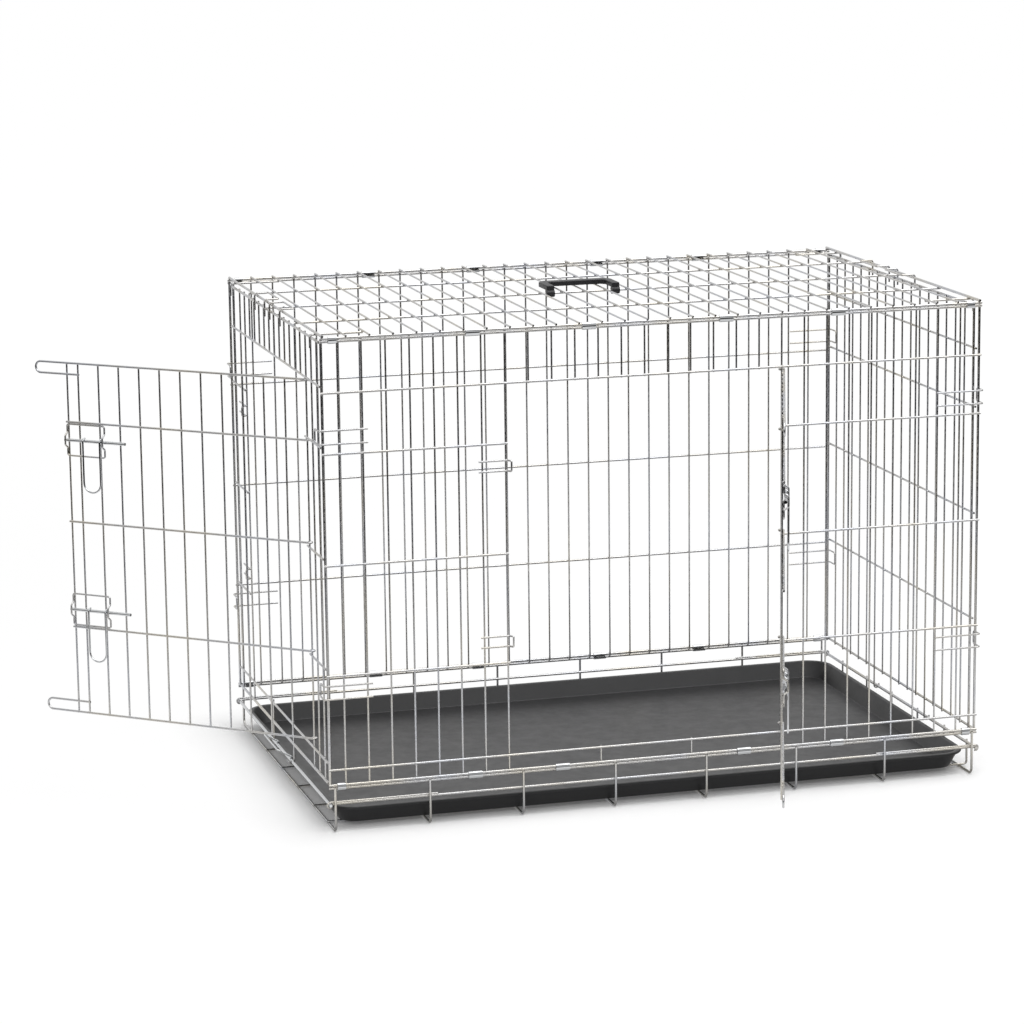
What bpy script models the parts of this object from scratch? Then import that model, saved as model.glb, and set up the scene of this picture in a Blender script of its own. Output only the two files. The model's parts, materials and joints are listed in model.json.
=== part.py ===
"""Folding wire dog crate: welded wire panels, two doors, a pull-out tray and a carry handle.

X runs along the crate's long side, Y from the front panel to the back panel, Z up.
The shapes are laid out from a point on the floor under the front panel's left corner, and main
then moves them so that the origin lies under the middle of the left foot wire.
"""

import math

import bmesh
import bpy
from mathutils import Matrix, Vector

# Overall sizes, in metres
LENGTH = 1.070
WIDTH = 0.680
PANEL_TOP = 0.767

# Wire diameters
RAIL_D = 0.0042
BAR_D = 0.0035
WIRE_D = 0.0029
CROSS_D = 0.0040
HINGE_BAR_D = 0.0050
BOLT_D = 0.0050

# Joints between wires
WELD = 0.0003
PAIR_GAP = 0.0005
TURN_GAP = 0.0004
BOLT_GAP = 0.0012
FACET_GAP = 0.0003
OVERHANG = 0.0025
BOLT_SIDES = 10
BEND_STEPS = 5
RAIL_SIDES = 6
WIRE_SIDES = 4

# Heights of the base frame and of the rows of wire above it
BASE_RAIL_Z = 0.070
MID_RAIL_Z = 0.0455
SILL_Z = 0.099
HEADER_DROP = 0.079
PANEL_GAPS = 4
END_TOP_DROP = 0.0075
END_ROW_RISE = 0.008

# Spacing of the uprights
PITCH = 0.0375
BACK_PITCH = 0.0369
END_PITCH = 0.038
LEAST_GAP = 0.020
END_INSET = 0.017

# Doorways and doors
DOORWAY_X = 0.2875
END_DOORWAY_SHIFT = 0.006
DOORWAY_GAPS = 12
DOOR_WIDTH = 0.433
DOOR_TOP_DROP = 0.0045
DOOR_FOOT_RISE = 0.013
DOOR_ROW_SHIFT = 0.0055
DOOR_LOOP_REACH = 0.056
DOOR_LOOP_HEIGHT = 0.018
DOOR_LOOP_RETURN = 0.004
FRONT_DOOR_ANGLE = 70.0
END_DOOR_ANGLE = 48.4

# Bolts, their brackets and their keepers
BRACKET_HEIGHT = 0.051
BRACKET_NEAR = 0.0015
BRACKET_LENGTH = 0.069
EYE_HALF = 0.0075
EYE_SLOPE = 0.005
BOLT_TIP = 0.005
BOLT_LENGTH = 0.112
BOLT_TRAVEL = 0.027
FINGER_NEAR = 0.031
FINGER_WIDTH = 0.031
FINGER_DROP = 0.082
FINGER_WRAP = 115.0
FINGER_STEPS = 3
HOOK_WRAP = 215
CURL_WRAP = 245
EYE_WRAP = 200
BAIL_WRAP = 230
KEEPER_HALF = 0.0082
KEEPER_TAIL = 0.044
KEEPER_REACH = 0.0065

# Stops that hold the end panels upright
STOP_LENGTH = 0.070
STOP_HALF = 0.0105
STOP_OUT = 0.0068
STOP_REACH = 0.026
STOP_ABOVE_ROW = 0.026
TOP_STOP_Y = 0.045
TOP_STOP_LENGTH = 0.076
TOP_STOP_DROP = 0.020
HOOP_REACH = 0.020
HOOP_TAIL = 0.012
HOOP_CORNER = 0.004

# Base frame
LEG_FIRST_X = 0.0062
LEG_COUNT = 8
LEG_CORNER = 0.010
LEG_ABOVE_RAIL = 0.002
FLOOR_FIRST_Y = 0.045
FLOOR_SECOND_Y = 0.140
FLOOR_PITCH = 0.117
FLOOR_COUNT = 6
EYE_ROD_D = 0.0030
EYE_ROD_LENGTH = 0.172

# Top panel
TOP_LONG_GAPS = 4
TOP_RAIL_IN = 0.0015

# Clips that pair two rails
CLIP_LENGTH = 0.022
CLIP_WALL = 0.0010
CLIP_SLOT = 0.0022
CORNER_CLIP_LENGTH = 0.013

# Tray
TRAY_FLOOR_GAP = 0.0004
TRAY_HEIGHT = 0.0285
TRAY_WALL = 0.0022
TRAY_SIDE_GAP = 0.0045
TRAY_LEFT_X = 0.004
TRAY_RIGHT_GAP = 0.006
TRAY_DRAFT = 0.012
TRAY_LIP = 0.006
TRAY_CORNER_R = 0.045

# Tray stop
TRAY_STOP_Y = 0.285
TRAY_STOP_WIDTH = 0.100
TRAY_STOP_DROP = 0.026
TRAY_STOP_RAISED = 120.0

# Carry handle
HANDLE_LEFT_X = 0.4612
HANDLE_SPAN = 0.1107
HANDLE_REACH = 0.058
GRIP_T = 0.008
GRIP_W = 0.016
SLEEVE_LENGTH = 0.013
SLEEVE_WALL = 0.0040
SLEEVE_SLOT = 0.0026
RIB_COUNT = 11
RIB_DEPTH = 0.0012

PANEL_FOOT = BASE_RAIL_Z + RAIL_D + PAIR_GAP
TOP_RAIL_Z = PANEL_TOP + RAIL_D + PAIR_GAP
HEADER_Z = PANEL_TOP - HEADER_DROP
TOP_EDGE_Z = TOP_RAIL_Z + (BAR_D + RAIL_D) / 2 - WELD
HOOP_Z = TOP_EDGE_Z + (RAIL_D + WIRE_D) / 2 + TURN_GAP
TOP_WIRE_Z = TOP_RAIL_Z + (BAR_D + WIRE_D) / 2 - WELD
ROW_RISE = (PANEL_TOP - PANEL_FOOT) / PANEL_GAPS
END_TOP_Z = TOP_RAIL_Z - END_TOP_DROP
DOORWAY_WIDTH = DOORWAY_GAPS * PITCH
DOORWAY_Y = (WIDTH - DOORWAY_WIDTH) / 2 + END_DOORWAY_SHIFT
WIRE_OFF = (BAR_D + WIRE_D) / 2 - WELD
THIN_OUT = WIRE_D - WELD - WIRE_OFF
HINGE_R = (BAR_D + WIRE_D) / 2 + TURN_GAP
FLAT = math.cos(math.pi / RAIL_SIDES)
FLOOR_Z = CROSS_D / 2 * FLAT
LONG_Z = FLOOR_Z * 2 + BAR_D / 2 - WELD
EYE_ROD_Z = MID_RAIL_Z + (CROSS_D + EYE_ROD_D) / 2 * FLAT - WELD
EYE_R = (HINGE_BAR_D + EYE_ROD_D) / 2 + TURN_GAP
HINGE_BAR_Z = EYE_ROD_Z - EYE_R
DOOR_OUT = HINGE_R - WIRE_OFF
BOLT_OUT = WIRE_D / 2 + BOLT_GAP + BOLT_D / 2 - WIRE_OFF
EYE_OUT = BOLT_OUT + BOLT_D / 2 + TURN_GAP + WIRE_D / 2
HOOK_R = (HINGE_BAR_D + WIRE_D) / 2 + TURN_GAP
HINGE_BAR_OUT = HOOK_R - WIRE_OFF

X = Vector((1, 0, 0))
Y = Vector((0, 1, 0))
Z = Vector((0, 0, 1))


def clear_scene():
    for obj in list(bpy.data.objects):
        bpy.data.objects.remove(obj, do_unlink=True)


def material(name, colour, roughness, metallic):
    made = bpy.data.materials.new(name)
    made.use_nodes = True
    shader = made.node_tree.nodes["Principled BSDF"]
    shader.inputs["Base Color"].default_value = (*colour, 1.0)
    shader.inputs["Roughness"].default_value = roughness
    shader.inputs["Metallic"].default_value = metallic
    return made


def row_heights():
    """The rows of wire that the four upright panels share, lowest first, without the top one."""
    return [PANEL_FOOT + ROW_RISE * i for i in range(PANEL_GAPS)]


def arc(centre, start, along, degrees, steps):
    """Points on a circle that leaves centre + start in the direction along."""
    radius = start.length
    first = start.normalized()
    side = along.normalized()
    points = []
    for i in range(steps + 1):
        turn = math.radians(degrees) * i / steps
        points.append(centre + radius * (math.cos(turn) * first + math.sin(turn) * side))
    return points


def rounded(points, radius, steps=1):
    """The same path with every inner corner turned into a bend of the given radius."""
    path = [Vector(points[0])]
    for before, corner, after in zip(points, points[1:], points[2:]):
        into = (Vector(before) - Vector(corner)).normalized()
        out = (Vector(after) - Vector(corner)).normalized()
        half = into.angle(out) / 2
        reach = radius / math.tan(half)
        centre = Vector(corner) + (into + out).normalized() * radius / math.sin(half)
        start = Vector(corner) + into * reach - centre
        path += arc(centre, start, -into, math.degrees(math.pi - 2 * half), steps)
    path.append(Vector(points[-1]))
    return path


def add_wire(bm, points, diameter, ridge, sides=RAIL_SIDES):
    """Sweeps a round wire, as a prism of few sides, along a path; one edge of it faces ridge at the start."""
    points = [Vector(point) for point in points]
    ways = [(b - a).normalized() for a, b in zip(points, points[1:])]
    normal = (ridge - ridge.dot(ways[0]) * ways[0]).normalized()
    rings = []
    for i, point in enumerate(points):
        way = ways[min(i, len(ways) - 1)]
        before = ways[max(i - 1, 0)]
        if i and before.angle(way) > 1e-6:
            normal = before.rotation_difference(way) @ normal
        side = way.cross(normal)
        mitre = (before + way).normalized()
        ring = []
        for k in range(sides):
            turn = math.tau * k / sides
            offset = diameter / 2 * (math.cos(turn) * normal + math.sin(turn) * side)
            slide = -offset.dot(mitre) / way.dot(mitre)
            ring.append(bm.verts.new(point + offset + slide * way))
        rings.append(ring)
    for low, high in zip(rings, rings[1:]):
        for k in range(sides):
            bm.faces.new((low[k], low[k - 1], high[k - 1], high[k]))
    bm.faces.new(rings[0])
    bm.faces.new(list(reversed(rings[-1])))


def mesh_object(name, bm, skin, pivot=(0, 0, 0)):
    """Makes the object; pivot is the point of its joint's axis where its origin goes."""
    bmesh.ops.recalc_face_normals(bm, faces=bm.faces)
    bmesh.ops.translate(bm, vec=-Vector(pivot), verts=bm.verts)
    mesh = bpy.data.meshes.new(name)
    bm.to_mesh(mesh)
    bm.free()
    mesh.materials.append(skin)
    obj = bpy.data.objects.new(name, mesh)
    obj.location = pivot
    bpy.context.scene.collection.objects.link(obj)
    return obj


def welded(name, layers, skin, pivot=(0, 0, 0)):
    """Unites layers of wires into one body; the wires of one layer don't touch each other."""
    obj = mesh_object(name, layers[0], skin, pivot)
    for number, layer in enumerate(layers[1:]):
        other = mesh_object(f"{name}.layer{number}", layer, skin, pivot)
        weld = obj.modifiers.new("Weld", "BOOLEAN")
        weld.operation = "UNION"
        weld.solver = "EXACT"
        weld.object = other
        graph = bpy.context.evaluated_depsgraph_get()
        mesh = bpy.data.meshes.new_from_object(obj.evaluated_get(graph))
        obj.modifiers.remove(weld)
        obj.data = mesh
        bpy.data.objects.remove(other, do_unlink=True)
    obj.data.name = name
    return obj


def spread(start, end, pitch):
    """Even positions from start to end, as near to pitch apart as fits."""
    gaps = round((end - start) / pitch)
    return [start + (end - start) * i / gaps for i in range(gaps + 1)]


def beside(start, end, door_start, door_end):
    """Uprights left of a doorway and right of it, a pitch apart, with one at each end of the panel."""
    left = [start]
    right = [end]
    place = door_start
    while place > start + LEAST_GAP:
        left.append(place)
        place -= PITCH
    place = door_end
    while place < end - LEAST_GAP:
        right.append(place)
        place += PITCH
    return sorted(left), sorted(right)


class Panel:
    """An upright panel: along runs with its rails, out points out of the crate, and foot is its corner."""

    def __init__(self, foot, along, out):
        self.foot = Vector(foot)
        self.along = along
        self.out = out
        self.rails = bmesh.new()
        self.uprights = bmesh.new()

    def at(self, place, height, out=0.0):
        return self.foot + self.along * place + Z * height + self.out * out

    def rail(self, start, end, height, diameter=BAR_D):
        add_wire(self.rails, [self.at(start, height), self.at(end, height)], diameter, self.out)

    def upright(self, place, low, high, diameter=WIRE_D):
        inward = WELD - (BAR_D + diameter) / 2
        ends = [self.at(place, low, inward), self.at(place, high, inward)]
        add_wire(self.uprights, ends, diameter, self.out, WIRE_SIDES)

    def stops(self, height, near_end):
        """A hairpin at each panel corner, past the corner and round the end panel's side wire."""
        for place, way in ((0.0, 1.0), (near_end, -1.0)):
            tip = place - way * STOP_OUT
            tail = place + way * STOP_LENGTH
            path = [
                self.at(tail, height + STOP_HALF, THIN_OUT),
                self.at(tip, height + STOP_HALF, THIN_OUT),
                self.at(tip, height + STOP_HALF, -STOP_REACH),
                self.at(tip, height - STOP_HALF, -STOP_REACH),
                self.at(tip, height - STOP_HALF, THIN_OUT),
                self.at(tail, height - STOP_HALF, THIN_OUT),
            ]
            add_wire(self.rails, rounded(path, HOOP_CORNER), WIRE_D, self.out, WIRE_SIDES)

    def keeper(self, name, edge, way, height, skin):
        """A hairpin on the strip beside a doorway, its closed end bowed out so that a bolt passes behind it."""
        bm = bmesh.new()
        on_uprights = THIN_OUT + WELD + FACET_GAP
        tail = edge - way * KEEPER_TAIL
        tip = edge + way * KEEPER_REACH
        path = []
        for side in (1, -1):
            leg = [
                self.at(tail, height + side * KEEPER_HALF, on_uprights),
                self.at(tip - way * EYE_SLOPE, height + side * KEEPER_HALF, on_uprights),
                self.at(tip, height + side * KEEPER_HALF, DOOR_OUT + EYE_OUT),
            ]
            path += leg if side > 0 else list(reversed(leg))
        add_wire(bm, path, WIRE_D, self.out, WIRE_SIDES)
        mesh_object(name, bm, skin)

    def finish(self, name, skin, more=()):
        return welded(name, [self.rails, self.uprights, *more], skin)


def front_panel(skin):
    panel = Panel((0, 0, 0), X, -Y)
    left, right = beside(0.0, LENGTH, DOORWAY_X, DOORWAY_X + DOORWAY_WIDTH)
    rows = row_heights()
    over = OVERHANG
    panel.rail(-over, LENGTH + over, PANEL_TOP, RAIL_D)
    panel.rail(-over, LENGTH + over, rows[0], RAIL_D)
    panel.rail(-over, LENGTH + over, HEADER_Z)
    panel.rail(-over, LENGTH + over, SILL_Z)
    for height in rows[1:]:
        panel.rail(-over, left[-1] + over, height)
        panel.rail(right[0] - over, LENGTH + over, height)
    for place in left + right:
        corner = place in (left[0], right[-1])
        panel.upright(place, rows[0] - over, PANEL_TOP + over, RAIL_D if corner else WIRE_D)
    for i in range(1, DOORWAY_GAPS):
        panel.upright(DOORWAY_X + PITCH * i, HEADER_Z - over, PANEL_TOP + over)
    for share in (1, 2):
        place = DOORWAY_X + DOORWAY_WIDTH * share / 3
        panel.upright(place, rows[0] - over, SILL_Z + over)
    for row in (1, 3):
        panel.stops(rows[row] + STOP_ABOVE_ROW * (1 if row == 3 else -1), LENGTH)
    for place, height in zip(("lower", "upper"), bolt_heights()):
        panel.keeper(f"front_{place}_keeper", DOORWAY_X, 1, height, skin)
    return panel.finish("front_panel", skin)


def back_panel(skin):
    panel = Panel((0, WIDTH, 0), X, Y)
    rows = row_heights()
    for height in rows + [PANEL_TOP]:
        outer = height in (rows[0], PANEL_TOP)
        panel.rail(-OVERHANG, LENGTH + OVERHANG, height, RAIL_D if outer else BAR_D)
    places = spread(0.0, LENGTH, BACK_PITCH)
    for place in places:
        corner = place in (places[0], places[-1])
        panel.upright(place, rows[0] - OVERHANG, PANEL_TOP + OVERHANG, RAIL_D if corner else WIRE_D)
    for row in (1, 3):
        panel.stops(rows[row] + STOP_ABOVE_ROW * (1 if row == 3 else -1), LENGTH)
    return panel.finish("back_panel", skin)


def hook_path(panel, place, top):
    """A wire that comes down inside the panel and turns under the hinge bar and up outside it."""
    axis = panel.at(place, HINGE_BAR_Z, HINGE_BAR_OUT)
    turn = arc(axis, -panel.out * HOOK_R, -Z, HOOK_WRAP, BEND_STEPS)
    return [panel.at(place, top, -WIRE_OFF)] + turn


def hoops(panel, pairs):
    """U wires that rise outside an end panel's top wire and hook inward over the top panel's end rail."""
    bm = bmesh.new()
    out = (RAIL_D + WIRE_D) / 2 - WELD
    low = END_TOP_Z - HOOP_TAIL
    for start, end in pairs:
        leg = [(start, low, out), (start, HOOP_Z, out), (start, HOOP_Z, -HOOP_REACH)]
        other_leg = [(end, height, place) for _, height, place in reversed(leg)]
        path = [panel.at(*point) for point in leg + other_leg]
        add_wire(bm, rounded(path, HOOP_CORNER), WIRE_D, panel.out, WIRE_SIDES)
    return bm


def end_hook_places():
    places = spread(END_INSET, WIDTH - END_INSET, END_PITCH)
    return places[5], places[-7]


def right_end_panel(skin):
    panel = Panel((LENGTH, 0, 0), Y, X)
    rows = row_heights()
    start, end = END_INSET, WIDTH - END_INSET
    panel.rail(start - OVERHANG, end + OVERHANG, END_TOP_Z, RAIL_D)
    panel.rail(start - OVERHANG, end + OVERHANG, rows[0], RAIL_D)
    for height in rows[1:] + [HEADER_Z]:
        panel.rail(start - OVERHANG, end + OVERHANG, height + END_ROW_RISE)
    places = spread(start, end, END_PITCH)
    hooked = end_hook_places()
    for place in places:
        if place in hooked:
            path = hook_path(panel, place, END_TOP_Z + OVERHANG)
            add_wire(panel.uprights, path, WIRE_D, panel.out, WIRE_SIDES)
        else:
            corner = place in (start, end)
            low, high = rows[0] - OVERHANG, END_TOP_Z + OVERHANG
            panel.upright(place, low, high, RAIL_D if corner else WIRE_D)
    middle = len(places) // 2
    pairs = [(places[middle - 2], places[middle]), (places[middle + 1], places[middle + 3])]
    return panel.finish("right_end_panel", skin, [hoops(panel, pairs)])


def left_end_panel(skin):
    panel = Panel((0, 0, 0), Y, -X)
    rows = row_heights()
    start, end = END_INSET, WIDTH - END_INSET
    front, back = beside(start, end, DOORWAY_Y, DOORWAY_Y + DOORWAY_WIDTH)
    panel.rail(start - OVERHANG, end + OVERHANG, END_TOP_Z, RAIL_D)
    panel.rail(start - OVERHANG, end + OVERHANG, rows[0], RAIL_D)
    panel.rail(start - OVERHANG, end + OVERHANG, HEADER_Z + END_ROW_RISE)
    panel.rail(start - OVERHANG, end + OVERHANG, SILL_Z + END_ROW_RISE)
    for height in rows[1:]:
        panel.rail(start - OVERHANG, front[-1] + OVERHANG, height + END_ROW_RISE)
        panel.rail(back[0] - OVERHANG, end + OVERHANG, height + END_ROW_RISE)
    for place in front + back:
        corner = place in (front[0], back[-1])
        low, high = rows[0] - OVERHANG, END_TOP_Z + OVERHANG
        panel.upright(place, low, high, RAIL_D if corner else WIRE_D)
    for i in range(1, DOORWAY_GAPS):
        panel.upright(DOORWAY_Y + PITCH * i, HEADER_Z + END_ROW_RISE - OVERHANG, END_TOP_Z + OVERHANG)
    for share in (1, 2):
        place = DOORWAY_Y + DOORWAY_WIDTH * share / 3
        path = hook_path(panel, place, SILL_Z + END_ROW_RISE + OVERHANG)
        add_wire(panel.uprights, path, WIRE_D, panel.out, WIRE_SIDES)
    for place, height in zip(("lower", "upper"), bolt_heights()):
        panel.keeper(f"end_{place}_keeper", DOORWAY_Y + DOORWAY_WIDTH, -1, height + END_ROW_RISE, skin)
    middle = DOORWAY_Y + DOORWAY_WIDTH / 2
    pairs = [(middle - PITCH * 2, middle), (middle + PITCH, middle + PITCH * 3)]
    return panel.finish("left_end_panel", skin, [hoops(panel, pairs)])


def bolt_heights():
    """The heights of the two bolts of a door: under its upper row and over its lower row."""
    low, _, high = door_rows()
    middle = BRACKET_HEIGHT / 2
    side = (BAR_D + WIRE_D) / 2 + FACET_GAP
    return low + side + middle, high - side - middle


def door_rows():
    rows = row_heights()
    return rows[1] + DOOR_ROW_SHIFT, rows[2] + DOOR_ROW_SHIFT, rows[3] - DOOR_ROW_SHIFT


class Door:
    """A door in its closed place, in its own frame: reach is measured from the hinge axis, out is outward."""

    def __init__(self, hinge, reach, out, angle):
        turn = Matrix.Rotation(angle, 3, Z)
        self.hinge = Vector(hinge)
        self.reach = turn @ reach
        self.out = turn @ out
        self.rails = bmesh.new()
        self.uprights = bmesh.new()

    def at(self, reach, height, out=0.0):
        """out is counted from the plane of the door's rails, which passes HINGE_R outside the hinge axis."""
        return self.hinge + self.reach * reach + Z * height + self.out * (HINGE_R + out)

    def curl(self, height):
        """The end of a rail, turned round the doorway's upright."""
        axis = self.hinge + Z * height
        return arc(axis, self.out * HINGE_R, -self.reach, CURL_WRAP, BEND_STEPS)

    def looped_rail(self, height, rise):
        """The top or bottom rail: past the free edge it turns back as a hairpin that rests on the panel."""
        tip = DOOR_WIDTH + DOOR_LOOP_REACH
        back = DOOR_WIDTH - LEAST_GAP - DOOR_LOOP_RETURN
        radius = abs(rise) / 2
        middle = self.at(tip - radius, height + rise / 2)
        way = 1 if rise > 0 else -1
        bend = arc(middle, -Z * way * radius, self.reach, 180, BEND_STEPS)
        path = list(reversed(self.curl(height))) + bend + [self.at(back, height + rise)]
        add_wire(self.rails, path, BAR_D, self.out)

    def rail(self, height):
        path = list(reversed(self.curl(height))) + [self.at(DOOR_WIDTH + OVERHANG, height)]
        add_wire(self.rails, path, BAR_D, self.out)

    def upright(self, place, low, high):
        ends = [self.at(place, low, -WIRE_OFF), self.at(place, high, -WIRE_OFF)]
        add_wire(self.uprights, ends, WIRE_D, self.out, WIRE_SIDES)

    def bracket(self, height):
        """A bent wire round the bolt: two long legs, joined at each end by an eye that bows out over the bolt."""
        near = DOOR_WIDTH + BRACKET_NEAR
        far = near - BRACKET_LENGTH
        half = BRACKET_HEIGHT / 2
        middle = (near + far) / 2
        seam = PAIR_GAP / 2
        path = [self.at(middle + seam, height + half, THIN_OUT), self.at(near, height + half, THIN_OUT)]
        path += self.eye(near, height, 1)
        path += [self.at(near, height - half, THIN_OUT), self.at(far, height - half, THIN_OUT)]
        path += self.eye(far, height, -1)
        path += [self.at(far, height + half, THIN_OUT), self.at(middle - seam, height + half, THIN_OUT)]
        add_wire(self.rails, path, WIRE_D, self.out, WIRE_SIDES)

    def eye(self, place, height, way):
        """The bowed middle of a bracket's end, from the top leg down, or from the bottom leg up."""
        foot = EYE_HALF + EYE_SLOPE
        levels = [(foot, THIN_OUT), (EYE_HALF, EYE_OUT), (-EYE_HALF, EYE_OUT), (-foot, THIN_OUT)]
        return [self.at(place, height + way * level, out) for level, out in levels]

    def finish(self, name, skin):
        return welded(name, [self.rails, self.uprights], skin, self.hinge)


def front_door_frame():
    hinge = (DOORWAY_X + DOORWAY_WIDTH, WIRE_OFF, 0)
    return Door(hinge, -X, -Y, math.radians(FRONT_DOOR_ANGLE))


def end_door_frame():
    hinge = (WIRE_OFF, DOORWAY_Y, END_ROW_RISE)
    return Door(hinge, Y, -X, math.radians(END_DOOR_ANGLE))


def build_door(name, door, skin):
    low = SILL_Z + DOOR_FOOT_RISE
    high = HEADER_Z - DOOR_TOP_DROP
    door.looped_rail(high, -DOOR_LOOP_HEIGHT)
    door.looped_rail(low, DOOR_LOOP_HEIGHT)
    for height in door_rows():
        door.rail(height)
    places = [PITCH * i for i in range(1, DOORWAY_GAPS)] + [DOOR_WIDTH]
    for place in places:
        door.upright(place, low - OVERHANG, high + OVERHANG - WIRE_D / 2)
    for height in bolt_heights():
        door.bracket(height)
    return door.finish(name, skin)


def build_bolt(name, door, height, skin):
    bm = bmesh.new()
    tip = DOOR_WIDTH + BOLT_TIP
    ends = [door.at(tip, height, BOLT_OUT), door.at(tip - BOLT_LENGTH, height, BOLT_OUT)]
    add_wire(bm, ends, BOLT_D, door.out, BOLT_SIDES)
    return mesh_object(name, bm, skin, ends[0])


def build_finger_loop(name, door, height, skin):
    """A long U that hangs from the bolt, each end hooked over it between two of the door's uprights."""
    bm = bmesh.new()
    near = DOOR_WIDTH - FINGER_NEAR
    far = near - FINGER_WIDTH
    turn_r = (BOLT_D + WIRE_D) / 2 + TURN_GAP
    curls = []
    for place in (near, far):
        curls.append(arc(door.at(place, height, BOLT_OUT), door.out * turn_r, Z, FINGER_WRAP, FINGER_STEPS))
    low = height - FINGER_DROP + FINGER_WIDTH / 2
    middle = door.at((near + far) / 2, low, BOLT_OUT + turn_r)
    bend = arc(middle, door.reach * FINGER_WIDTH / 2, -Z, 180, BEND_STEPS + 1)
    path = list(reversed(curls[0])) + bend + curls[1]
    add_wire(bm, path, WIRE_D, door.out, WIRE_SIDES)
    return mesh_object(name, bm, skin, door.at(near, height, BOLT_OUT))


def base_frame(skin):
    """Rails, U-shaped cross wires that are also its legs, floor wires, hinge eyes and the right hinge bar."""
    along = bmesh.new()
    across = bmesh.new()
    eyes = bmesh.new()
    bar_left = -HINGE_BAR_OUT
    bar_right = LENGTH + HINGE_BAR_OUT
    clear = HINGE_BAR_D / 2 + PAIR_GAP * 2
    for y in (0.0, WIDTH):
        ridge = Y
        add_wire(along, [(-OVERHANG, y, BASE_RAIL_Z), (LENGTH + OVERHANG, y, BASE_RAIL_Z)], RAIL_D, ridge)
        rail = [(bar_left + clear, y, MID_RAIL_Z), (bar_right - clear, y, MID_RAIL_Z)]
        add_wire(along, rail, CROSS_D, ridge)
        for bar, way in ((bar_left, 1), (bar_right, -1)):
            axis = Vector((bar, y, HINGE_BAR_Z))
            curl = arc(axis, Z * EYE_R, -X * way, EYE_WRAP, BEND_STEPS + 1)
            tail = Vector((bar + way * EYE_ROD_LENGTH, y, EYE_ROD_Z))
            add_wire(eyes, [tail] + curl, EYE_ROD_D, Y)
    leg_out = CROSS_D * (1 + FLAT) / 2 - WELD
    for i in range(LEG_COUNT):
        x = LEG_FIRST_X + (LENGTH - 2 * LEG_FIRST_X) * i / (LEG_COUNT - 1)
        top = BASE_RAIL_Z + LEG_ABOVE_RAIL
        path = [(x, -leg_out, top), (x, -leg_out, FLOOR_Z), (x, WIDTH + leg_out, FLOOR_Z), (x, WIDTH + leg_out, top)]
        path = rounded([Vector(point) for point in path], LEG_CORNER)
        add_wire(across, path, CROSS_D, X)
    riser = bar_right + (HINGE_BAR_D + BAR_D) / 2 - WELD
    for y in floor_places():
        path = [(LEG_FIRST_X - OVERHANG, y, LONG_Z), (riser, y, LONG_Z), (riser, y, HINGE_BAR_Z + OVERHANG)]
        add_wire(along, rounded([Vector(point) for point in path], LEG_CORNER / 2), BAR_D, Z)
    ends = [(bar_right, -RAIL_D, HINGE_BAR_Z), (bar_right, WIDTH + RAIL_D, HINGE_BAR_Z)]
    add_wire(across, ends, HINGE_BAR_D, X)
    return welded("base_frame", [along, across, eyes], skin)


def floor_places():
    return [FLOOR_FIRST_Y] + [FLOOR_SECOND_Y + FLOOR_PITCH * i for i in range(FLOOR_COUNT - 1)]


def left_hinge_bar(skin):
    bm = bmesh.new()
    x = -HINGE_BAR_OUT
    add_wire(bm, [(x, -RAIL_D, HINGE_BAR_Z), (x, WIDTH + RAIL_D, HINGE_BAR_Z)], HINGE_BAR_D, X, BOLT_SIDES)
    return mesh_object("left_hinge_bar", bm, skin)


def top_places():
    return spread(TOP_RAIL_IN, LENGTH - TOP_RAIL_IN, BACK_PITCH)


def top_panel(skin):
    """Rails and wires along the crate, with thinner wires across on top of them."""
    along = bmesh.new()
    across = bmesh.new()
    for i in range(TOP_LONG_GAPS + 1):
        y = WIDTH * i / TOP_LONG_GAPS
        diameter = RAIL_D if i in (0, TOP_LONG_GAPS) else BAR_D
        add_wire(along, [(-OVERHANG, y, TOP_RAIL_Z), (LENGTH + OVERHANG, y, TOP_RAIL_Z)], diameter, Z)
    places = top_places()
    for x in places:
        edge = x in (places[0], places[-1])
        diameter = RAIL_D if edge else WIRE_D
        z = TOP_EDGE_Z if edge else TOP_WIRE_Z
        add_wire(across, [(x, -OVERHANG, z), (x, WIDTH + OVERHANG, z)], diameter, -Z, WIRE_SIDES)
    for y in (TOP_STOP_Y, WIDTH - TOP_STOP_Y):
        for place, way in ((0.0, 1), (LENGTH, -1)):
            tip = place - way * STOP_OUT
            path = [
                Vector((place + way * TOP_STOP_LENGTH, y, TOP_RAIL_Z)),
                Vector((tip, y, TOP_RAIL_Z)),
                Vector((tip, y, TOP_RAIL_Z - TOP_STOP_DROP)),
            ]
            add_wire(along, rounded(path, HOOP_CORNER), BAR_D, Z)
    return welded("top_panel", [along, across], skin)


def clip_outline(low, high):
    """A C round two rails that lie one over the other, open on the side of positive u."""
    inner = RAIL_D / 2 + TURN_GAP
    outer = inner + CLIP_WALL
    steps = 3
    half = CLIP_SLOT / 2
    middle = (low + high) / 2
    ring = []
    for radius, way in ((outer, 1), (inner, -1)):
        side = [(radius, middle + half)]
        for i in range(steps + 1):
            turn = math.pi * i / steps
            side.append((radius * math.cos(turn), high + radius * math.sin(turn)))
        for i in range(steps + 1):
            turn = math.pi * (1 + i / steps)
            side.append((radius * math.cos(turn), low + radius * math.sin(turn)))
        side.append((radius, middle - half))
        ring += side if way > 0 else list(reversed(side))
    return ring


def build_clip(name, x, length, y, inward, low, high, skin):
    bm = bmesh.new()
    start = x - length / 2
    ring = [bm.verts.new((start, y + inward * u, z)) for u, z in clip_outline(low, high)]
    face = bm.faces.new(ring)
    moved = bmesh.ops.extrude_face_region(bm, geom=[face])["geom"]
    bmesh.ops.translate(bm, vec=X * length, verts=[item for item in moved if isinstance(item, bmesh.types.BMVert)])
    return mesh_object(name, bm, skin)


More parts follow.
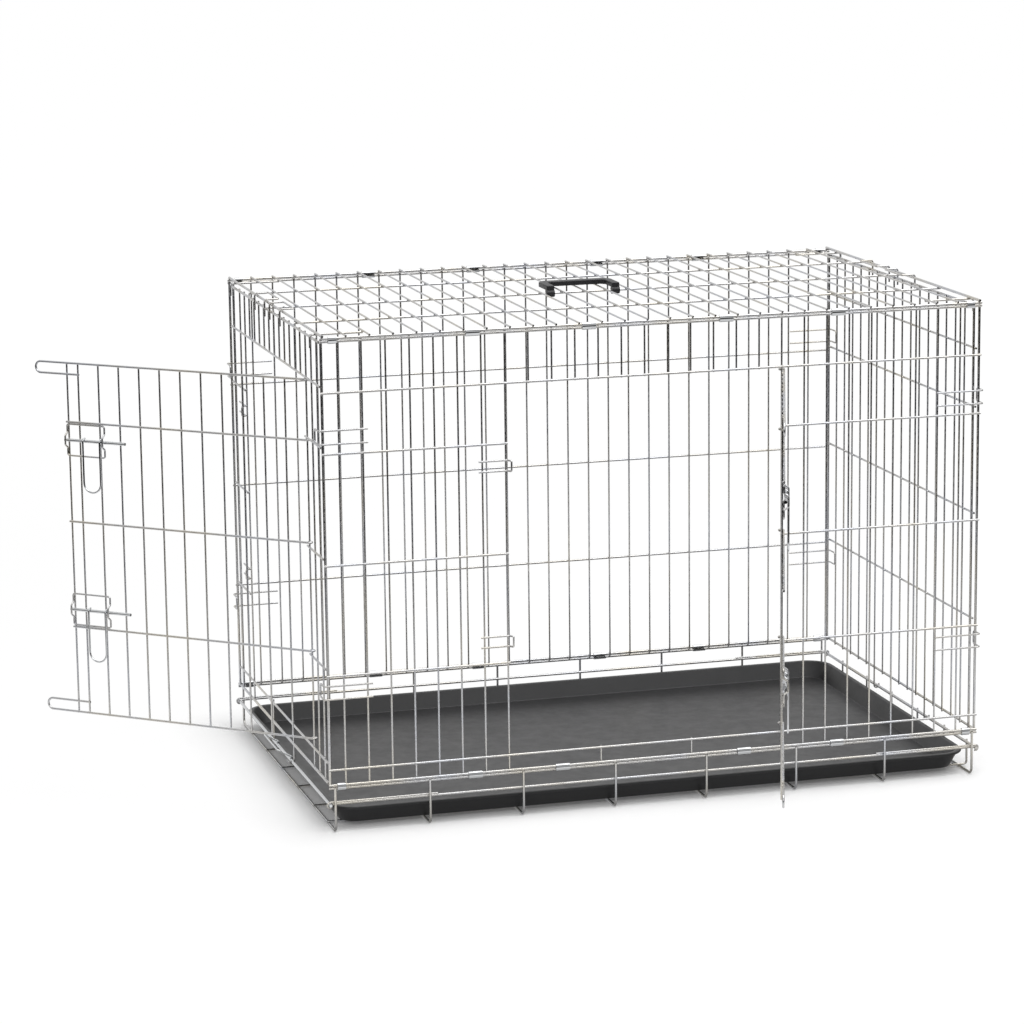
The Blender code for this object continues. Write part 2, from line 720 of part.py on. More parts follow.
def free_spots(places_a, places_b, wishes):
    """For each wished place the middle of the nearest gap between wires of both grids; a gap holds one clip."""
    marks = sorted(places_a + places_b)
    room = [(a + b) / 2 for a, b in zip(marks, marks[1:]) if b - a > CLIP_LENGTH + WIRE_D + FACET_GAP * 2]
    spots = []
    for wish in wishes:
        spots.append(min(room, key=lambda middle: abs(middle - wish)))
        room.remove(spots[-1])
    return spots


CLIP_SHARES = (0.22, 0.39, 0.604, 0.776)


def build_clips(skin):
    left, right = beside(0.0, LENGTH, DOORWAY_X, DOORWAY_X + DOORWAY_WIDTH)
    header = [DOORWAY_X + PITCH * i for i in range(1, DOORWAY_GAPS)]
    ties = [DOORWAY_X + DOORWAY_WIDTH * share / 3 for share in (1, 2)]
    legs = [LEG_FIRST_X + (LENGTH - 2 * LEG_FIRST_X) * i / (LEG_COUNT - 1) for i in range(LEG_COUNT)]
    back = spread(0.0, LENGTH, BACK_PITCH)
    rows = row_heights()
    sites = (
        ("front_top", 0.0, 1, PANEL_TOP, TOP_RAIL_Z, left + header + right, top_places()),
        ("front_foot", 0.0, 1, BASE_RAIL_Z, rows[0], left + ties + right, legs),
        ("back_top", WIDTH, -1, PANEL_TOP, TOP_RAIL_Z, back, top_places()),
        ("back_foot", WIDTH, -1, BASE_RAIL_Z, rows[0], back, legs),
    )
    for site, y, inward, low, high, grid, other in sites:
        corner = CORNER_CLIP_LENGTH / 2 + RAIL_D
        between = free_spots(grid, other, [LENGTH * share for share in CLIP_SHARES])
        spots = [corner + LEG_FIRST_X, *between, LENGTH - corner - LEG_FIRST_X]
        for number, x in enumerate(spots):
            length = CORNER_CLIP_LENGTH if number in (0, len(spots) - 1) else CLIP_LENGTH
            build_clip(f"{site}_clip_{number + 1}", x, length, y, inward, low, high, skin)


def rounded_rectangle(x0, y0, x1, y1, radius, z, steps=4):
    ring = []
    corners = ((x1, y1, 0), (x0, y1, 1), (x0, y0, 2), (x1, y0, 3))
    for cx, cy, quarter in corners:
        centre_x = cx + (radius if cx == x0 else -radius)
        centre_y = cy + (radius if cy == y0 else -radius)
        for i in range(steps + 1):
            turn = math.pi / 2 * (quarter + i / steps)
            ring.append(Vector((centre_x + radius * math.cos(turn), centre_y + radius * math.sin(turn), z)))
    return ring


def tray(skin):
    """A moulded pan with sloping walls and a rolled lip, which lies on the floor wires."""
    bottom = LONG_Z + BAR_D / 2 + TRAY_FLOOR_GAP
    x0, x1 = TRAY_LEFT_X, LENGTH - TRAY_RIGHT_GAP
    y0, y1 = TRAY_SIDE_GAP, WIDTH - TRAY_SIDE_GAP
    lip, wall, draft = TRAY_LIP, TRAY_WALL, TRAY_DRAFT
    top = bottom + TRAY_HEIGHT
    levels = (
        (lip + draft + wall, bottom),
        (lip + draft, bottom + wall),
        (lip, top - wall * 2),
        (0.0, top - wall * 1.5),
        (0.0, top - wall * 0.5),
        (wall, top),
        (lip + wall * 0.5, top),
        (lip + wall, top - wall),
        (lip + draft + wall, bottom + wall * 2),
        (lip + draft + wall * 2, bottom + wall),
    )
    bm = bmesh.new()
    rings = []
    for inset, z in levels:
        radius = TRAY_CORNER_R - inset
        ring = rounded_rectangle(x0 + inset, y0 + inset, x1 - inset, y1 - inset, radius, z)
        rings.append([bm.verts.new(point) for point in ring])
    for low, high in zip(rings, rings[1:]):
        for k in range(len(low)):
            bm.faces.new((low[k - 1], low[k], high[k], high[k - 1]))
    bm.faces.new(list(reversed(rings[0])))
    bm.faces.new(rings[-1])
    return mesh_object("tray", bm, skin, (x0, WIDTH / 2, bottom))


def tray_stop(skin):
    """A wire bail that hangs on the left hinge bar outside the tray; here it is swung up, which frees the tray."""
    bm = bmesh.new()
    turn_r = (HINGE_BAR_D + WIRE_D) / 2 + TURN_GAP
    raised = math.radians(TRAY_STOP_RAISED)
    down = Vector((-math.sin(raised), 0, -math.cos(raised)))
    outward = Vector((-math.cos(raised), 0, math.sin(raised)))
    path = []
    for y, order in ((TRAY_STOP_Y, 1), (TRAY_STOP_Y + TRAY_STOP_WIDTH, -1)):
        axis = Vector((-HINGE_BAR_OUT, y, HINGE_BAR_Z))
        leg = [axis + outward * turn_r + down * TRAY_STOP_DROP] + arc(axis, outward * turn_r, -down, BAIL_WRAP, BEND_STEPS)
        path += list(reversed(leg)) if order > 0 else leg
    add_wire(bm, path, WIRE_D, Z, WIRE_SIDES)
    return mesh_object("tray_stop", bm, skin, (-HINGE_BAR_OUT, TRAY_STOP_Y, HINGE_BAR_Z))


def handle(skin):
    """A ribbed plastic grip on two arms, each ending in a sleeve snapped on the middle wire of the top."""
    axis_y = WIDTH / 2
    bore = BAR_D / 2 + TURN_GAP
    outer = bore + SLEEVE_WALL
    steps = 8
    half = math.asin(SLEEVE_SLOT / 2 / outer)
    sleeves = bmesh.new()
    for x in (HANDLE_LEFT_X, HANDLE_LEFT_X + HANDLE_SPAN):
        ring = []
        for radius, way in ((outer, 1), (bore, -1)):
            side = []
            for i in range(steps + 1):
                turn = -math.pi / 2 + half + (math.tau - 2 * half) * i / steps
                side.append((radius * math.cos(turn), radius * math.sin(turn)))
            ring += side if way > 0 else list(reversed(side))
        verts = [sleeves.verts.new((x - SLEEVE_LENGTH / 2, axis_y + u, TOP_RAIL_Z + v)) for u, v in ring]
        face = sleeves.faces.new(verts)
        moved = bmesh.ops.extrude_face_region(sleeves, geom=[face])["geom"]
        turned = [item for item in moved if isinstance(item, bmesh.types.BMVert)]
        bmesh.ops.translate(sleeves, vec=X * SLEEVE_LENGTH, verts=turned)
    pivot = (HANDLE_LEFT_X, axis_y, TOP_RAIL_Z)
    return welded("handle", [sleeves, handle_bow(axis_y, outer)], skin, pivot)


def handle_bow(axis_y, outer):
    """The arms and the grip as one outline seen from above, ribbed along the finger side, given a thickness."""
    left = HANDLE_LEFT_X - SLEEVE_LENGTH / 2
    right = HANDLE_LEFT_X + HANDLE_SPAN + SLEEVE_LENGTH / 2
    arm = SLEEVE_LENGTH
    far = axis_y + HANDLE_REACH
    inner = far - GRIP_W
    root = axis_y - outer / 2
    outline = [(left, root), (left + arm, root), (left + arm, inner - arm / 2)]
    run = right - left - 2 * arm - arm
    start = left + arm * 1.5
    for i in range(RIB_COUNT):
        x = start + run * i / (RIB_COUNT - 1)
        outline.append((x, inner - (RIB_DEPTH if i % 2 else 0.0)))
    outline += [(right - arm, inner - arm / 2), (right - arm, root), (right, root)]
    outline += [(right, far - arm), (right - arm / 2, far - arm / 4), (right - arm, far)]
    outline += [(left + arm, far), (left + arm / 2, far - arm / 4), (left, far - arm)]
    bm = bmesh.new()
    low = TOP_WIRE_Z + WIRE_D / 2 + TURN_GAP
    face = bm.faces.new([bm.verts.new((x, y, low)) for x, y in outline])
    moved = bmesh.ops.extrude_face_region(bm, geom=[face])["geom"]
    top = [item for item in moved if isinstance(item, bmesh.types.BMVert)]
    bmesh.ops.translate(bm, vec=Z * GRIP_T, verts=top)
    return bm


def main():
    clear_scene()
    zinc = material("zinc_wire", (0.55, 0.56, 0.57), 0.32, 1.0)
    bright = material("bright_zinc", (0.66, 0.67, 0.68), 0.25, 1.0)
    plastic = material("tray_plastic", (0.02, 0.02, 0.022), 0.45, 0.0)
    grip = material("handle_plastic", (0.012, 0.012, 0.014), 0.5, 0.0)
    base_frame(zinc)
    left_hinge_bar(bright)
    front_panel(zinc)
    back_panel(zinc)
    left_end_panel(zinc)
    right_end_panel(zinc)
    top_panel(zinc)
    build_clips(bright)
    tray(plastic)
    tray_stop(bright)
    handle(grip)
    for name, door in (("front", front_door_frame()), ("end", end_door_frame())):
        build_door(f"{name}_door", door, zinc)
        for place, height in zip(("lower", "upper"), bolt_heights()):
            build_bolt(f"{name}_{place}_bolt", door, height, bright)
            build_finger_loop(f"{name}_{place}_finger_loop", door, height, bright)
    for obj in bpy.data.objects:
        obj.location -= Vector((LEG_FIRST_X, WIDTH / 2, 0))


main()
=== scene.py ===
"""Dresses the wire dog crate: round wire with weld beads, moulded tray and handle, and a plain studio."""

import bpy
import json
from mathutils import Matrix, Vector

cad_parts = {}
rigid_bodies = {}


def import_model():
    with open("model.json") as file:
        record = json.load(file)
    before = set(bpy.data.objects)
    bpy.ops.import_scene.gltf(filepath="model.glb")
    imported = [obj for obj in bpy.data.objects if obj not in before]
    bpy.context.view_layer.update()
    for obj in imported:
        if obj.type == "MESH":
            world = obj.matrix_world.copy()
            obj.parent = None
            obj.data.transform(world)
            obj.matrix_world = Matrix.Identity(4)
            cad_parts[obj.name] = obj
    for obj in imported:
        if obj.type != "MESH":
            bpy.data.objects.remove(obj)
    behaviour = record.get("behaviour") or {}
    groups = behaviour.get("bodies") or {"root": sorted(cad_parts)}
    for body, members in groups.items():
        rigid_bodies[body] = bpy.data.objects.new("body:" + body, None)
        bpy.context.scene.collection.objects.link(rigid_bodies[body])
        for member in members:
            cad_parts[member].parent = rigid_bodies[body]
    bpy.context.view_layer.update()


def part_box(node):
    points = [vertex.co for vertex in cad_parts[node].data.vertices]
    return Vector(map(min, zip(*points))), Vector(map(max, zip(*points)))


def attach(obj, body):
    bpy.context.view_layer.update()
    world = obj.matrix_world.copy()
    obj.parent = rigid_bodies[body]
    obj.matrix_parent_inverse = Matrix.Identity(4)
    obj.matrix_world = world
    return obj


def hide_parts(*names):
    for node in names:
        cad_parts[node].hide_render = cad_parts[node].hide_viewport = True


bl_info = {
    "name": "Wire Dog Crate",
    "version": (1, 0, 0),
    "blender": (4, 5, 0),
    "location": "View3D > Sidebar > Crate",
    "description": "Builds the finished surfaces of a folding wire dog crate around its packed solids",
    "category": "Object",
}

import json
import math

import bmesh
import bpy
from bpy.props import FloatProperty, FloatVectorProperty, IntProperty, PointerProperty
from mathutils import Matrix, Vector

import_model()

# Overall sizes, in metres, as in the solids
LENGTH = 1.070
WIDTH = 0.680
PANEL_TOP = 0.767

# Wire diameters
RAIL_D = 0.0042
BAR_D = 0.0035
WIRE_D = 0.0029
CROSS_D = 0.0040
HINGE_BAR_D = 0.0050
BOLT_D = 0.0050
EYE_ROD_D = 0.0030

# Clearances and welds
WELD = 0.0003
PAIR_GAP = 0.0005
TURN_GAP = 0.0004
BOLT_GAP = 0.0012
OVERHANG = 0.0025
BEAD_IN = 0.0008
FLAT = math.cos(math.pi / 6)
KEEPER_GAP = 0.0003

# Heights
BASE_RAIL_Z = 0.070
MID_RAIL_Z = 0.0455
SILL_Z = 0.099
HEADER_DROP = 0.079
HEADER_Z = PANEL_TOP - HEADER_DROP
PANEL_GAPS = 4
END_TOP_DROP = 0.0075
END_ROW_RISE = 0.008

# Spacing
PITCH = 0.0375
BACK_PITCH = 0.0369
END_PITCH = 0.038
LEAST_GAP = 0.020
END_INSET = 0.017
RIGHT_HOOKS = (5, -7)
DOORWAY_X = 0.2875
DOORWAY_GAPS = 12
DOORWAY_WIDTH = DOORWAY_GAPS * PITCH
END_DOORWAY_SHIFT = 0.006
DOORWAY_Y = (WIDTH - DOORWAY_WIDTH) / 2 + END_DOORWAY_SHIFT
DOOR_WIDTH = 0.433
DOOR_TOP_DROP = 0.0045
DOOR_FOOT_RISE = 0.013
DOOR_ROW_SHIFT = 0.0055
DOOR_LOOP_REACH = 0.056
DOOR_LOOP_HEIGHT = 0.018
DOOR_LOOP_RETURN = 0.004
FRONT_DOOR_ANGLE = 70.0
END_DOOR_ANGLE = 48.4

# Bolts, brackets, keepers and stops
BRACKET_HEIGHT = 0.051
BRACKET_NEAR = 0.0015
BRACKET_LENGTH = 0.069
EYE_HALF = 0.0075
EYE_SLOPE = 0.005
BOLT_TIP = 0.005
BOLT_LENGTH = 0.112
FINGER_NEAR = 0.031
FINGER_WIDTH = 0.031
FINGER_DROP = 0.082
FINGER_WRAP = 115.0
KEEPER_HALF = 0.0082
KEEPER_TAIL = 0.044
KEEPER_REACH = 0.0065
STOP_LENGTH = 0.070
STOP_HALF = 0.0105
STOP_OUT = 0.0068
STOP_REACH = 0.026
STOP_ABOVE_ROW = 0.026
TOP_STOP_Y = 0.045
TOP_STOP_LENGTH = 0.076
TOP_STOP_DROP = 0.020
HOOP_REACH = 0.020
HOOP_TAIL = 0.012
HOOP_CORNER = 0.004

# Base frame and top panel
LEG_FIRST_X = 0.0062
LEG_COUNT = 8
LEG_CORNER = 0.010
LEG_ABOVE_RAIL = 0.002
FLOOR_FIRST_Y = 0.045
FLOOR_SECOND_Y = 0.140
FLOOR_PITCH = 0.117
FLOOR_COUNT = 6
EYE_ROD_LENGTH = 0.172
TOP_LONG_GAPS = 4
TOP_RAIL_IN = 0.0015

# Tray, tray stop and handle
TRAY_FLOOR_GAP = 0.0004
TRAY_HEIGHT = 0.0285
TRAY_WALL = 0.0022
TRAY_SIDE_GAP = 0.0045
TRAY_LEFT_X = 0.004
TRAY_RIGHT_GAP = 0.006
TRAY_DRAFT = 0.012
TRAY_LIP = 0.006
TRAY_CORNER_R = 0.045
TRAY_STOP_Y = 0.285
TRAY_STOP_WIDTH = 0.100
TRAY_STOP_DROP = 0.026
TRAY_STOP_RAISED = 120.0
HANDLE_LEFT_X = 0.4612
HANDLE_SPAN = 0.1107
HANDLE_REACH = 0.058
GRIP_T = 0.008
GRIP_W = 0.016
SLEEVE_LENGTH = 0.013
SLEEVE_WALL = 0.0040
SLEEVE_SLOT = 0.0026
RIB_COUNT = 11
RIB_DEPTH = 0.0012

# Clips
CLIP_WALL = 0.0010
CLIP_CROWN = 0.0006
CLIP_SLOT = 0.0022
SITES = ("front_top", "front_foot", "back_top", "back_foot")
CLIPS_PER_SITE = 6

# Values worked out from the sizes above
PANEL_FOOT = BASE_RAIL_Z + RAIL_D + PAIR_GAP
TOP_RAIL_Z = PANEL_TOP + RAIL_D + PAIR_GAP
TOP_EDGE_Z = TOP_RAIL_Z + (BAR_D + RAIL_D) / 2 - WELD
HOOP_Z = TOP_EDGE_Z + (RAIL_D + WIRE_D) / 2 + TURN_GAP
TOP_WIRE_Z = TOP_RAIL_Z + (BAR_D + WIRE_D) / 2 - WELD
ROW_RISE = (PANEL_TOP - PANEL_FOOT) / PANEL_GAPS
END_TOP_Z = TOP_RAIL_Z - END_TOP_DROP
WIRE_OFF = (BAR_D + WIRE_D) / 2 - WELD
THIN_OUT = WIRE_D - WELD - WIRE_OFF
HINGE_R = (BAR_D + WIRE_D) / 2 + TURN_GAP
FLOOR_Z = CROSS_D / 2 * FLAT
LONG_Z = FLOOR_Z * 2 + BAR_D / 2 - WELD
EYE_ROD_Z = MID_RAIL_Z + (CROSS_D + EYE_ROD_D) / 2 * FLAT - WELD
EYE_R = (HINGE_BAR_D + EYE_ROD_D) / 2 + TURN_GAP
HINGE_BAR_Z = EYE_ROD_Z - EYE_R
DOOR_OUT = HINGE_R - WIRE_OFF
BOLT_OUT = WIRE_D / 2 + BOLT_GAP + BOLT_D / 2 - WIRE_OFF
EYE_OUT = BOLT_OUT + BOLT_D / 2 + TURN_GAP + WIRE_D / 2
HOOK_R = (HINGE_BAR_D + WIRE_D) / 2 + TURN_GAP
HINGE_BAR_OUT = HOOK_R - WIRE_OFF
ROWS = [PANEL_FOOT + ROW_RISE * i for i in range(PANEL_GAPS)]
DOOR_ROWS = (ROWS[1] + DOOR_ROW_SHIFT, ROWS[2] + DOOR_ROW_SHIFT, ROWS[3] - DOOR_ROW_SHIFT)
BOLT_RISE = (BAR_D + WIRE_D) / 2 + KEEPER_GAP + BRACKET_HEIGHT / 2
BOLT_HEIGHTS = {"lower": DOOR_ROWS[0] + BOLT_RISE, "upper": DOOR_ROWS[2] - BOLT_RISE}
ORIGIN = Vector((LEG_FIRST_X, WIDTH / 2, 0))

# The camera, in the layout's frame, found from the photograph's perspective
CAMERA_AT = Vector((-1.234, -5.393, 1.632))
CAMERA_AHEAD = Vector((0.26736, 0.94255, -0.20029))
CAMERA_UP = Vector((0.06643, 0.18934, 0.97966))
CAMERA_LENS = 130.51
CAMERA_SENSOR = 36.0

# The floor's glow and shade: near is beside the crate, far is the horizon, foot is under the crate
GLOW_NEAR = 0.83
GLOW_FAR = 0.90
GLOW_FOOT_SHARE = 0.07
MATT_FOOT = 0.97
MATT_OPEN = 0.20
# What metal reflects of the floor is painted light: a glow pale near and behind the crate, dim beyond, and a
# painted shadow at its foot
MIRRORED_GLOW = 0.95
MIRRORED_FOOT_SHARE = 0.3
POOL_FADE = 3.2
MIRRORED_POOL = (0.75, 1.5)
BACKDROP_AWAY = 6.5
BACKDROP_REACH = (5.0, 6.0)
PLAIN_FLOOR = 0.8

# The room in metal's reflections: dim walls, pale over these heights and towards the backdrop
ROOM_DIM = 0.10
ROOM_PALE = 1.0
CEILING_RISE = (0.05, 0.7)
BACKDROP_RISE = (0.2, 0.8)

# The lamps: where each stands, what it points at, and its side
KEY_AT = (1.5, -0.5, 3.4)
KEY_AIM = (0.5, 0.0, 0.2)
KEY_SIDE = 3.2
FILL_AT = (-2.6, -3.6, 2.2)
FILL_AIM = (0.4, 0.0, 0.3)
FILL_SIDE = 2.2

X = Vector((1, 0, 0))
Y = Vector((0, 1, 0))
Z = Vector((0, 0, 1))
BEND_STEPS = 6
TURN_STEPS = 20
SHARP_ANGLE = 48.0
BEAD_SEED = 7

# How far the bent wires turn round what they hold, in degrees
HOOK_TURN = 215
CURL_TURN = 245
EYE_TURN = 200
TRAY_STOP_TURN = 230

# Patterns on the surfaces: how fine their noise is, and how deep the pits are
ZINC_PATCHES = 9.0
ZINC_POOLS = 160.0
ZINC_PITS = 1400.0
ZINC_PIT_DEPTH = 0.00015
PLASTIC_CLOUDS = 5.0
PLASTIC_MARKS = 38.0

# Roughness of the plastics, and how fine and how deep their grain is
TRAY_SURFACE = (0.34, 900.0, 0.00012)
HANDLE_SURFACE = (0.40, 1500.0, 0.0001)
GRIP_EDGE_R = 0.0012


class CrateSizes(bpy.types.PropertyGroup):
    sides: IntProperty(name="Wire sides", description="Faces round each wire", default=10, min=6, max=32)
    bead: FloatProperty(
        name="Weld bead",
        description="Radius of the bead where two wires are welded",
        default=0.0018,
        unit="LENGTH",
    )
    bead_spread: FloatProperty(
        name="Bead spread",
        description="How much the beads differ in size",
        default=0.18,
        subtype="FACTOR",
    )
    bend: FloatProperty(
        name="Bend radius",
        description="Radius at the corners of the small bent wires",
        default=0.0022,
        unit="LENGTH",
    )


class CrateFinish(bpy.types.PropertyGroup):
    zinc: FloatVectorProperty(
        name="Zinc", description="Colour of the plated wire", default=(0.60, 0.61, 0.64), subtype="COLOR"
    )
    zinc_warm: FloatVectorProperty(
        name="Warm zinc",
        description="Warmer patches of the plating",
        default=(0.64, 0.61, 0.55),
        subtype="COLOR",
    )
    zinc_roughness: FloatProperty(
        name="Zinc roughness", description="Mean roughness of the plating", default=0.25, subtype="FACTOR"
    )
    tray: FloatVectorProperty(
        name="Tray",
        description="Colour of the tray's plastic",
        default=(0.020, 0.020, 0.021),
        subtype="COLOR",
    )
    handle: FloatVectorProperty(
        name="Handle",
        description="Colour of the handle's plastic",
        default=(0.016, 0.016, 0.018),
        subtype="COLOR",
    )


class StageSettings(bpy.types.PropertyGroup):
    floor_size: FloatProperty(name="Floor size", description="Side of the floor", default=90.0, unit="LENGTH")
    key: FloatProperty(
        name="Key light", description="Power of the large lamp overhead", default=80.0, unit="POWER"
    )
    fill: FloatProperty(
        name="Fill light", description="Power of the lamp in front", default=36.0, unit="POWER"
    )
    world: FloatProperty(name="World light", description="Strength of the room's even light", default=0.5)
    pool: FloatProperty(
        name="Light pool",
        description="How far from the crate's middle the evenly lit floor reaches",
        default=1.5,
        unit="LENGTH",
    )
    shadow: FloatProperty(
        name="Shadow",
        description="Width of the band round the crate's foot where the floor still takes shadows",
        default=0.12,
        unit="LENGTH",
    )


def arc(centre, start, along, degrees, steps=TURN_STEPS):
    """Points on a circle that leaves centre + start in the direction along."""
    first = start.normalized()
    side = along.normalized()
    turns = [math.radians(degrees) * i / steps for i in range(steps + 1)]
    return [centre + start.length * (math.cos(turn) * first + math.sin(turn) * side) for turn in turns]


def rounded(points, radius, steps=BEND_STEPS):
    """The same path with a bend of the given radius at every inner corner, or less where a run is short."""
    path = [Vector(points[0])]
    for before, corner, after in zip(points, points[1:], points[2:]):
        to_before = Vector(before) - Vector(corner)
        to_after = Vector(after) - Vector(corner)
        into, out = to_before.normalized(), to_after.normalized()
        half = into.angle(out) / 2
        room = min(to_before.length, to_after.length) * 0.48
        reach = min(radius / math.tan(half), room)
        bend = reach * math.tan(half)
        centre = Vector(corner) + (into + out).normalized() * bend / math.sin(half)
        start = Vector(corner) + into * reach - centre
        path += arc(centre, start, -into, math.degrees(math.pi - 2 * half), steps)
    path.append(Vector(points[-1]))
    return path


def spread(start, end, pitch):
    """Even positions from start to end, as near to pitch apart as fits."""
    gaps = round((end - start) / pitch)
    return [start + (end - start) * i / gaps for i in range(gaps + 1)]


def beside(start, end, door_start, door_end):
    """Uprights on both sides of a doorway, a pitch apart, with one at each end of the panel."""
    left = [start]
    right = [end]
    place = door_start
    while place > start + LEAST_GAP:
        left.append(place)
        place -= PITCH
    place = door_end
    while place < end - LEAST_GAP:
        right.append(place)
        place += PITCH
    return sorted(left), sorted(right)


class Wires:
    """The wires of one piece, each a path with a diameter, and the points where they are welded."""

    def __init__(self):
        self.paths = []
        self.welds = []

    def add(self, points, diameter):
        self.paths.append(([Vector(point) - ORIGIN for point in points], diameter))

    def weld(self, point):
        self.welds.append(Vector(point) - ORIGIN)


def new_tree(name, settings):
    """A Geometry Nodes tree with those settings, geometry and a material, and the key of each setting."""
    tree = bpy.data.node_groups.new(name, "GeometryNodeTree")
    socket = tree.interface.new_socket
    socket("Geometry", in_out="INPUT", socket_type="NodeSocketGeometry")
    keys = {}
    for setting, kind in (*settings.items(), ("Material", "NodeSocketMaterial")):
        keys[setting] = socket(setting, in_out="INPUT", socket_type=kind).identifier
    socket("Geometry", in_out="OUTPUT", socket_type="NodeSocketGeometry")
    return tree, keys


def end_tree(tree, source, geometry):
    """Ends a tree with real geometry in the material that comes in."""
    nodes, links = tree.nodes, tree.links
    realize = nodes.new("GeometryNodeRealizeInstances")
    coat = nodes.new("GeometryNodeSetMaterial")
    links.new(geometry, realize.inputs["Geometry"])
    links.new(realize.outputs["Geometry"], coat.inputs["Geometry"])
    links.new(source.outputs["Material"], coat.inputs["Material"])
    links.new(coat.outputs["Geometry"], nodes.new("NodeGroupOutput").inputs["Geometry"])


def wire_tree():
    """Geometry Nodes that sweep a round section along each spline, as thick as the spline's radius says."""
    tree, keys = new_tree("Round wire", {"Sides": "NodeSocketInt"})
    nodes, links = tree.nodes, tree.links
    source = nodes.new("NodeGroupInput")
    section = nodes.new("GeometryNodeCurvePrimitiveCircle")
    section.inputs["Radius"].default_value = 1.0
    radius = nodes.new("GeometryNodeInputRadius")
    sweep = nodes.new("GeometryNodeCurveToMesh")
    sweep.inputs["Fill Caps"].default_value = True
    smooth = nodes.new("GeometryNodeSetShadeSmooth")
    links.new(source.outputs["Sides"], section.inputs["Resolution"])
    links.new(source.outputs["Geometry"], sweep.inputs["Curve"])
    links.new(section.outputs["Curve"], sweep.inputs["Profile Curve"])
    links.new(radius.outputs["Radius"], sweep.inputs["Scale"])
    links.new(sweep.outputs["Mesh"], smooth.inputs["Geometry"])
    end_tree(tree, source, smooth.outputs["Geometry"])
    return tree, keys


def bead_tree():
    """Geometry Nodes that put a small bead, a little different each time, on every point."""
    settings = {"Radius": "NodeSocketFloat", "Spread": "NodeSocketFloat", "Seed": "NodeSocketInt"}
    tree, keys = new_tree("Weld beads", settings)
    nodes, links = tree.nodes, tree.links
    source = nodes.new("NodeGroupInput")
    ball = nodes.new("GeometryNodeMeshUVSphere")
    ball.inputs["Segments"].default_value = 8
    ball.inputs["Rings"].default_value = 6
    smooth = nodes.new("GeometryNodeSetShadeSmooth")
    chance = nodes.new("FunctionNodeRandomValue")
    place = nodes.new("GeometryNodeInstanceOnPoints")
    limits = [socket for socket in chance.inputs if socket.enabled and socket.name in ("Min", "Max")]
    for operation, limit in zip(("SUBTRACT", "ADD"), limits):
        step = nodes.new("ShaderNodeMath")
        step.operation = operation
        step.inputs[0].default_value = 1.0
        links.new(source.outputs["Spread"], step.inputs[1])
        links.new(step.outputs[0], limit)
    size = next(socket for socket in chance.outputs if socket.enabled)
    links.new(source.outputs["Radius"], ball.inputs["Radius"])
    links.new(source.outputs["Seed"], chance.inputs["Seed"])
    links.new(source.outputs["Geometry"], place.inputs["Points"])
    links.new(ball.outputs["Mesh"], smooth.inputs["Geometry"])
    links.new(smooth.outputs["Geometry"], place.inputs["Instance"])
    links.new(size, place.inputs["Scale"])
    end_tree(tree, source, place.outputs["Instances"])
    return tree, keys


TREES = {}


def grown(name, data, make, values, material):
    """One object with the plain mesh that a Geometry Nodes tree makes of a piece's paths or points."""
    if make not in TREES:
        TREES[make] = make()
    tree, keys = TREES[make]
    source = bpy.data.objects.new(data.name, data)
    bpy.context.scene.collection.objects.link(source)
    modifier = source.modifiers.new(tree.name, "NODES")
    modifier.node_group = tree
    for setting, value in (*values.items(), ("Material", material)):
        modifier[keys[setting]] = value
    bpy.context.view_layer.update()
    graph = bpy.context.evaluated_depsgraph_get()
    mesh = bpy.data.meshes.new_from_object(source.evaluated_get(graph))
    bpy.data.batch_remove((source, data))
    mesh.name = name
    mesh.materials.clear()
    mesh.materials.append(material)
    return link_mesh(name, mesh)


def link_mesh(name, mesh):
    mesh.set_sharp_from_angle(angle=math.radians(SHARP_ANGLE))
    obj = bpy.data.objects.new(name, mesh)
    bpy.context.scene.collection.objects.link(obj)
    return obj


def sweep_wires(name, wires, material):
    """One object with all the wires of a piece."""
    curve = bpy.data.curves.new(name + "_paths", "CURVE")
    curve.dimensions = "3D"
    for points, diameter in wires.paths:
        spline = curve.splines.new("POLY")
        spline.points.add(len(points) - 1)
        for slot, point in zip(spline.points, points):
            slot.co = (*point, 1.0)
            slot.radius = diameter / 2
    return grown(name, curve, wire_tree, {"Sides": bpy.context.scene.crate_sizes.sides}, material)


def set_beads(name, points, material):
    """One object with a bead on every weld."""
    sizes = bpy.context.scene.crate_sizes
    mesh = bpy.data.meshes.new(name + "_points")
    mesh.from_pydata(points, [], [])
    values = {"Radius": sizes.bead, "Spread": sizes.bead_spread, "Seed": BEAD_SEED}
    return grown(name, mesh, bead_tree, values, material)


def finish_wires(node, wires, body="crate", slot="zinc_wire"):
    """Sweeps the wires of a CAD node, sets its beads, and lets both stand for the node on its body."""
    material = zinc() if slot == "zinc_wire" else bright_zinc()
    piece = sweep_wires(node + "_wires", wires, material)
    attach(piece, body)
    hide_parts(node)
    if wires.welds:
        beads = set_beads(node + "_welds", wires.welds, material)
        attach(beads, body)


def new_material(name):
    material = bpy.data.materials.new(name)
    material.use_nodes = True
    return material, material.node_tree.nodes, material.node_tree.links


def noise(nodes, links, coordinates, scale, detail, roughness=0.5):
    made = nodes.new("ShaderNodeTexNoise")
    made.inputs["Scale"].default_value = scale
    made.inputs["Detail"].default_value = detail
    made.inputs["Roughness"].default_value = roughness
    links.new(coordinates, made.inputs["Vector"])
    return made.outputs["Fac"]


def remap(nodes, links, value, low, high, start=0.3, end=0.7):
    made = nodes.new("ShaderNodeMapRange")
    made.inputs["From Min"].default_value = start
    made.inputs["From Max"].default_value = end
    made.inputs["To Min"].default_value = low
    made.inputs["To Max"].default_value = high
    links.new(value, made.inputs["Value"])
    return made.outputs["Result"]


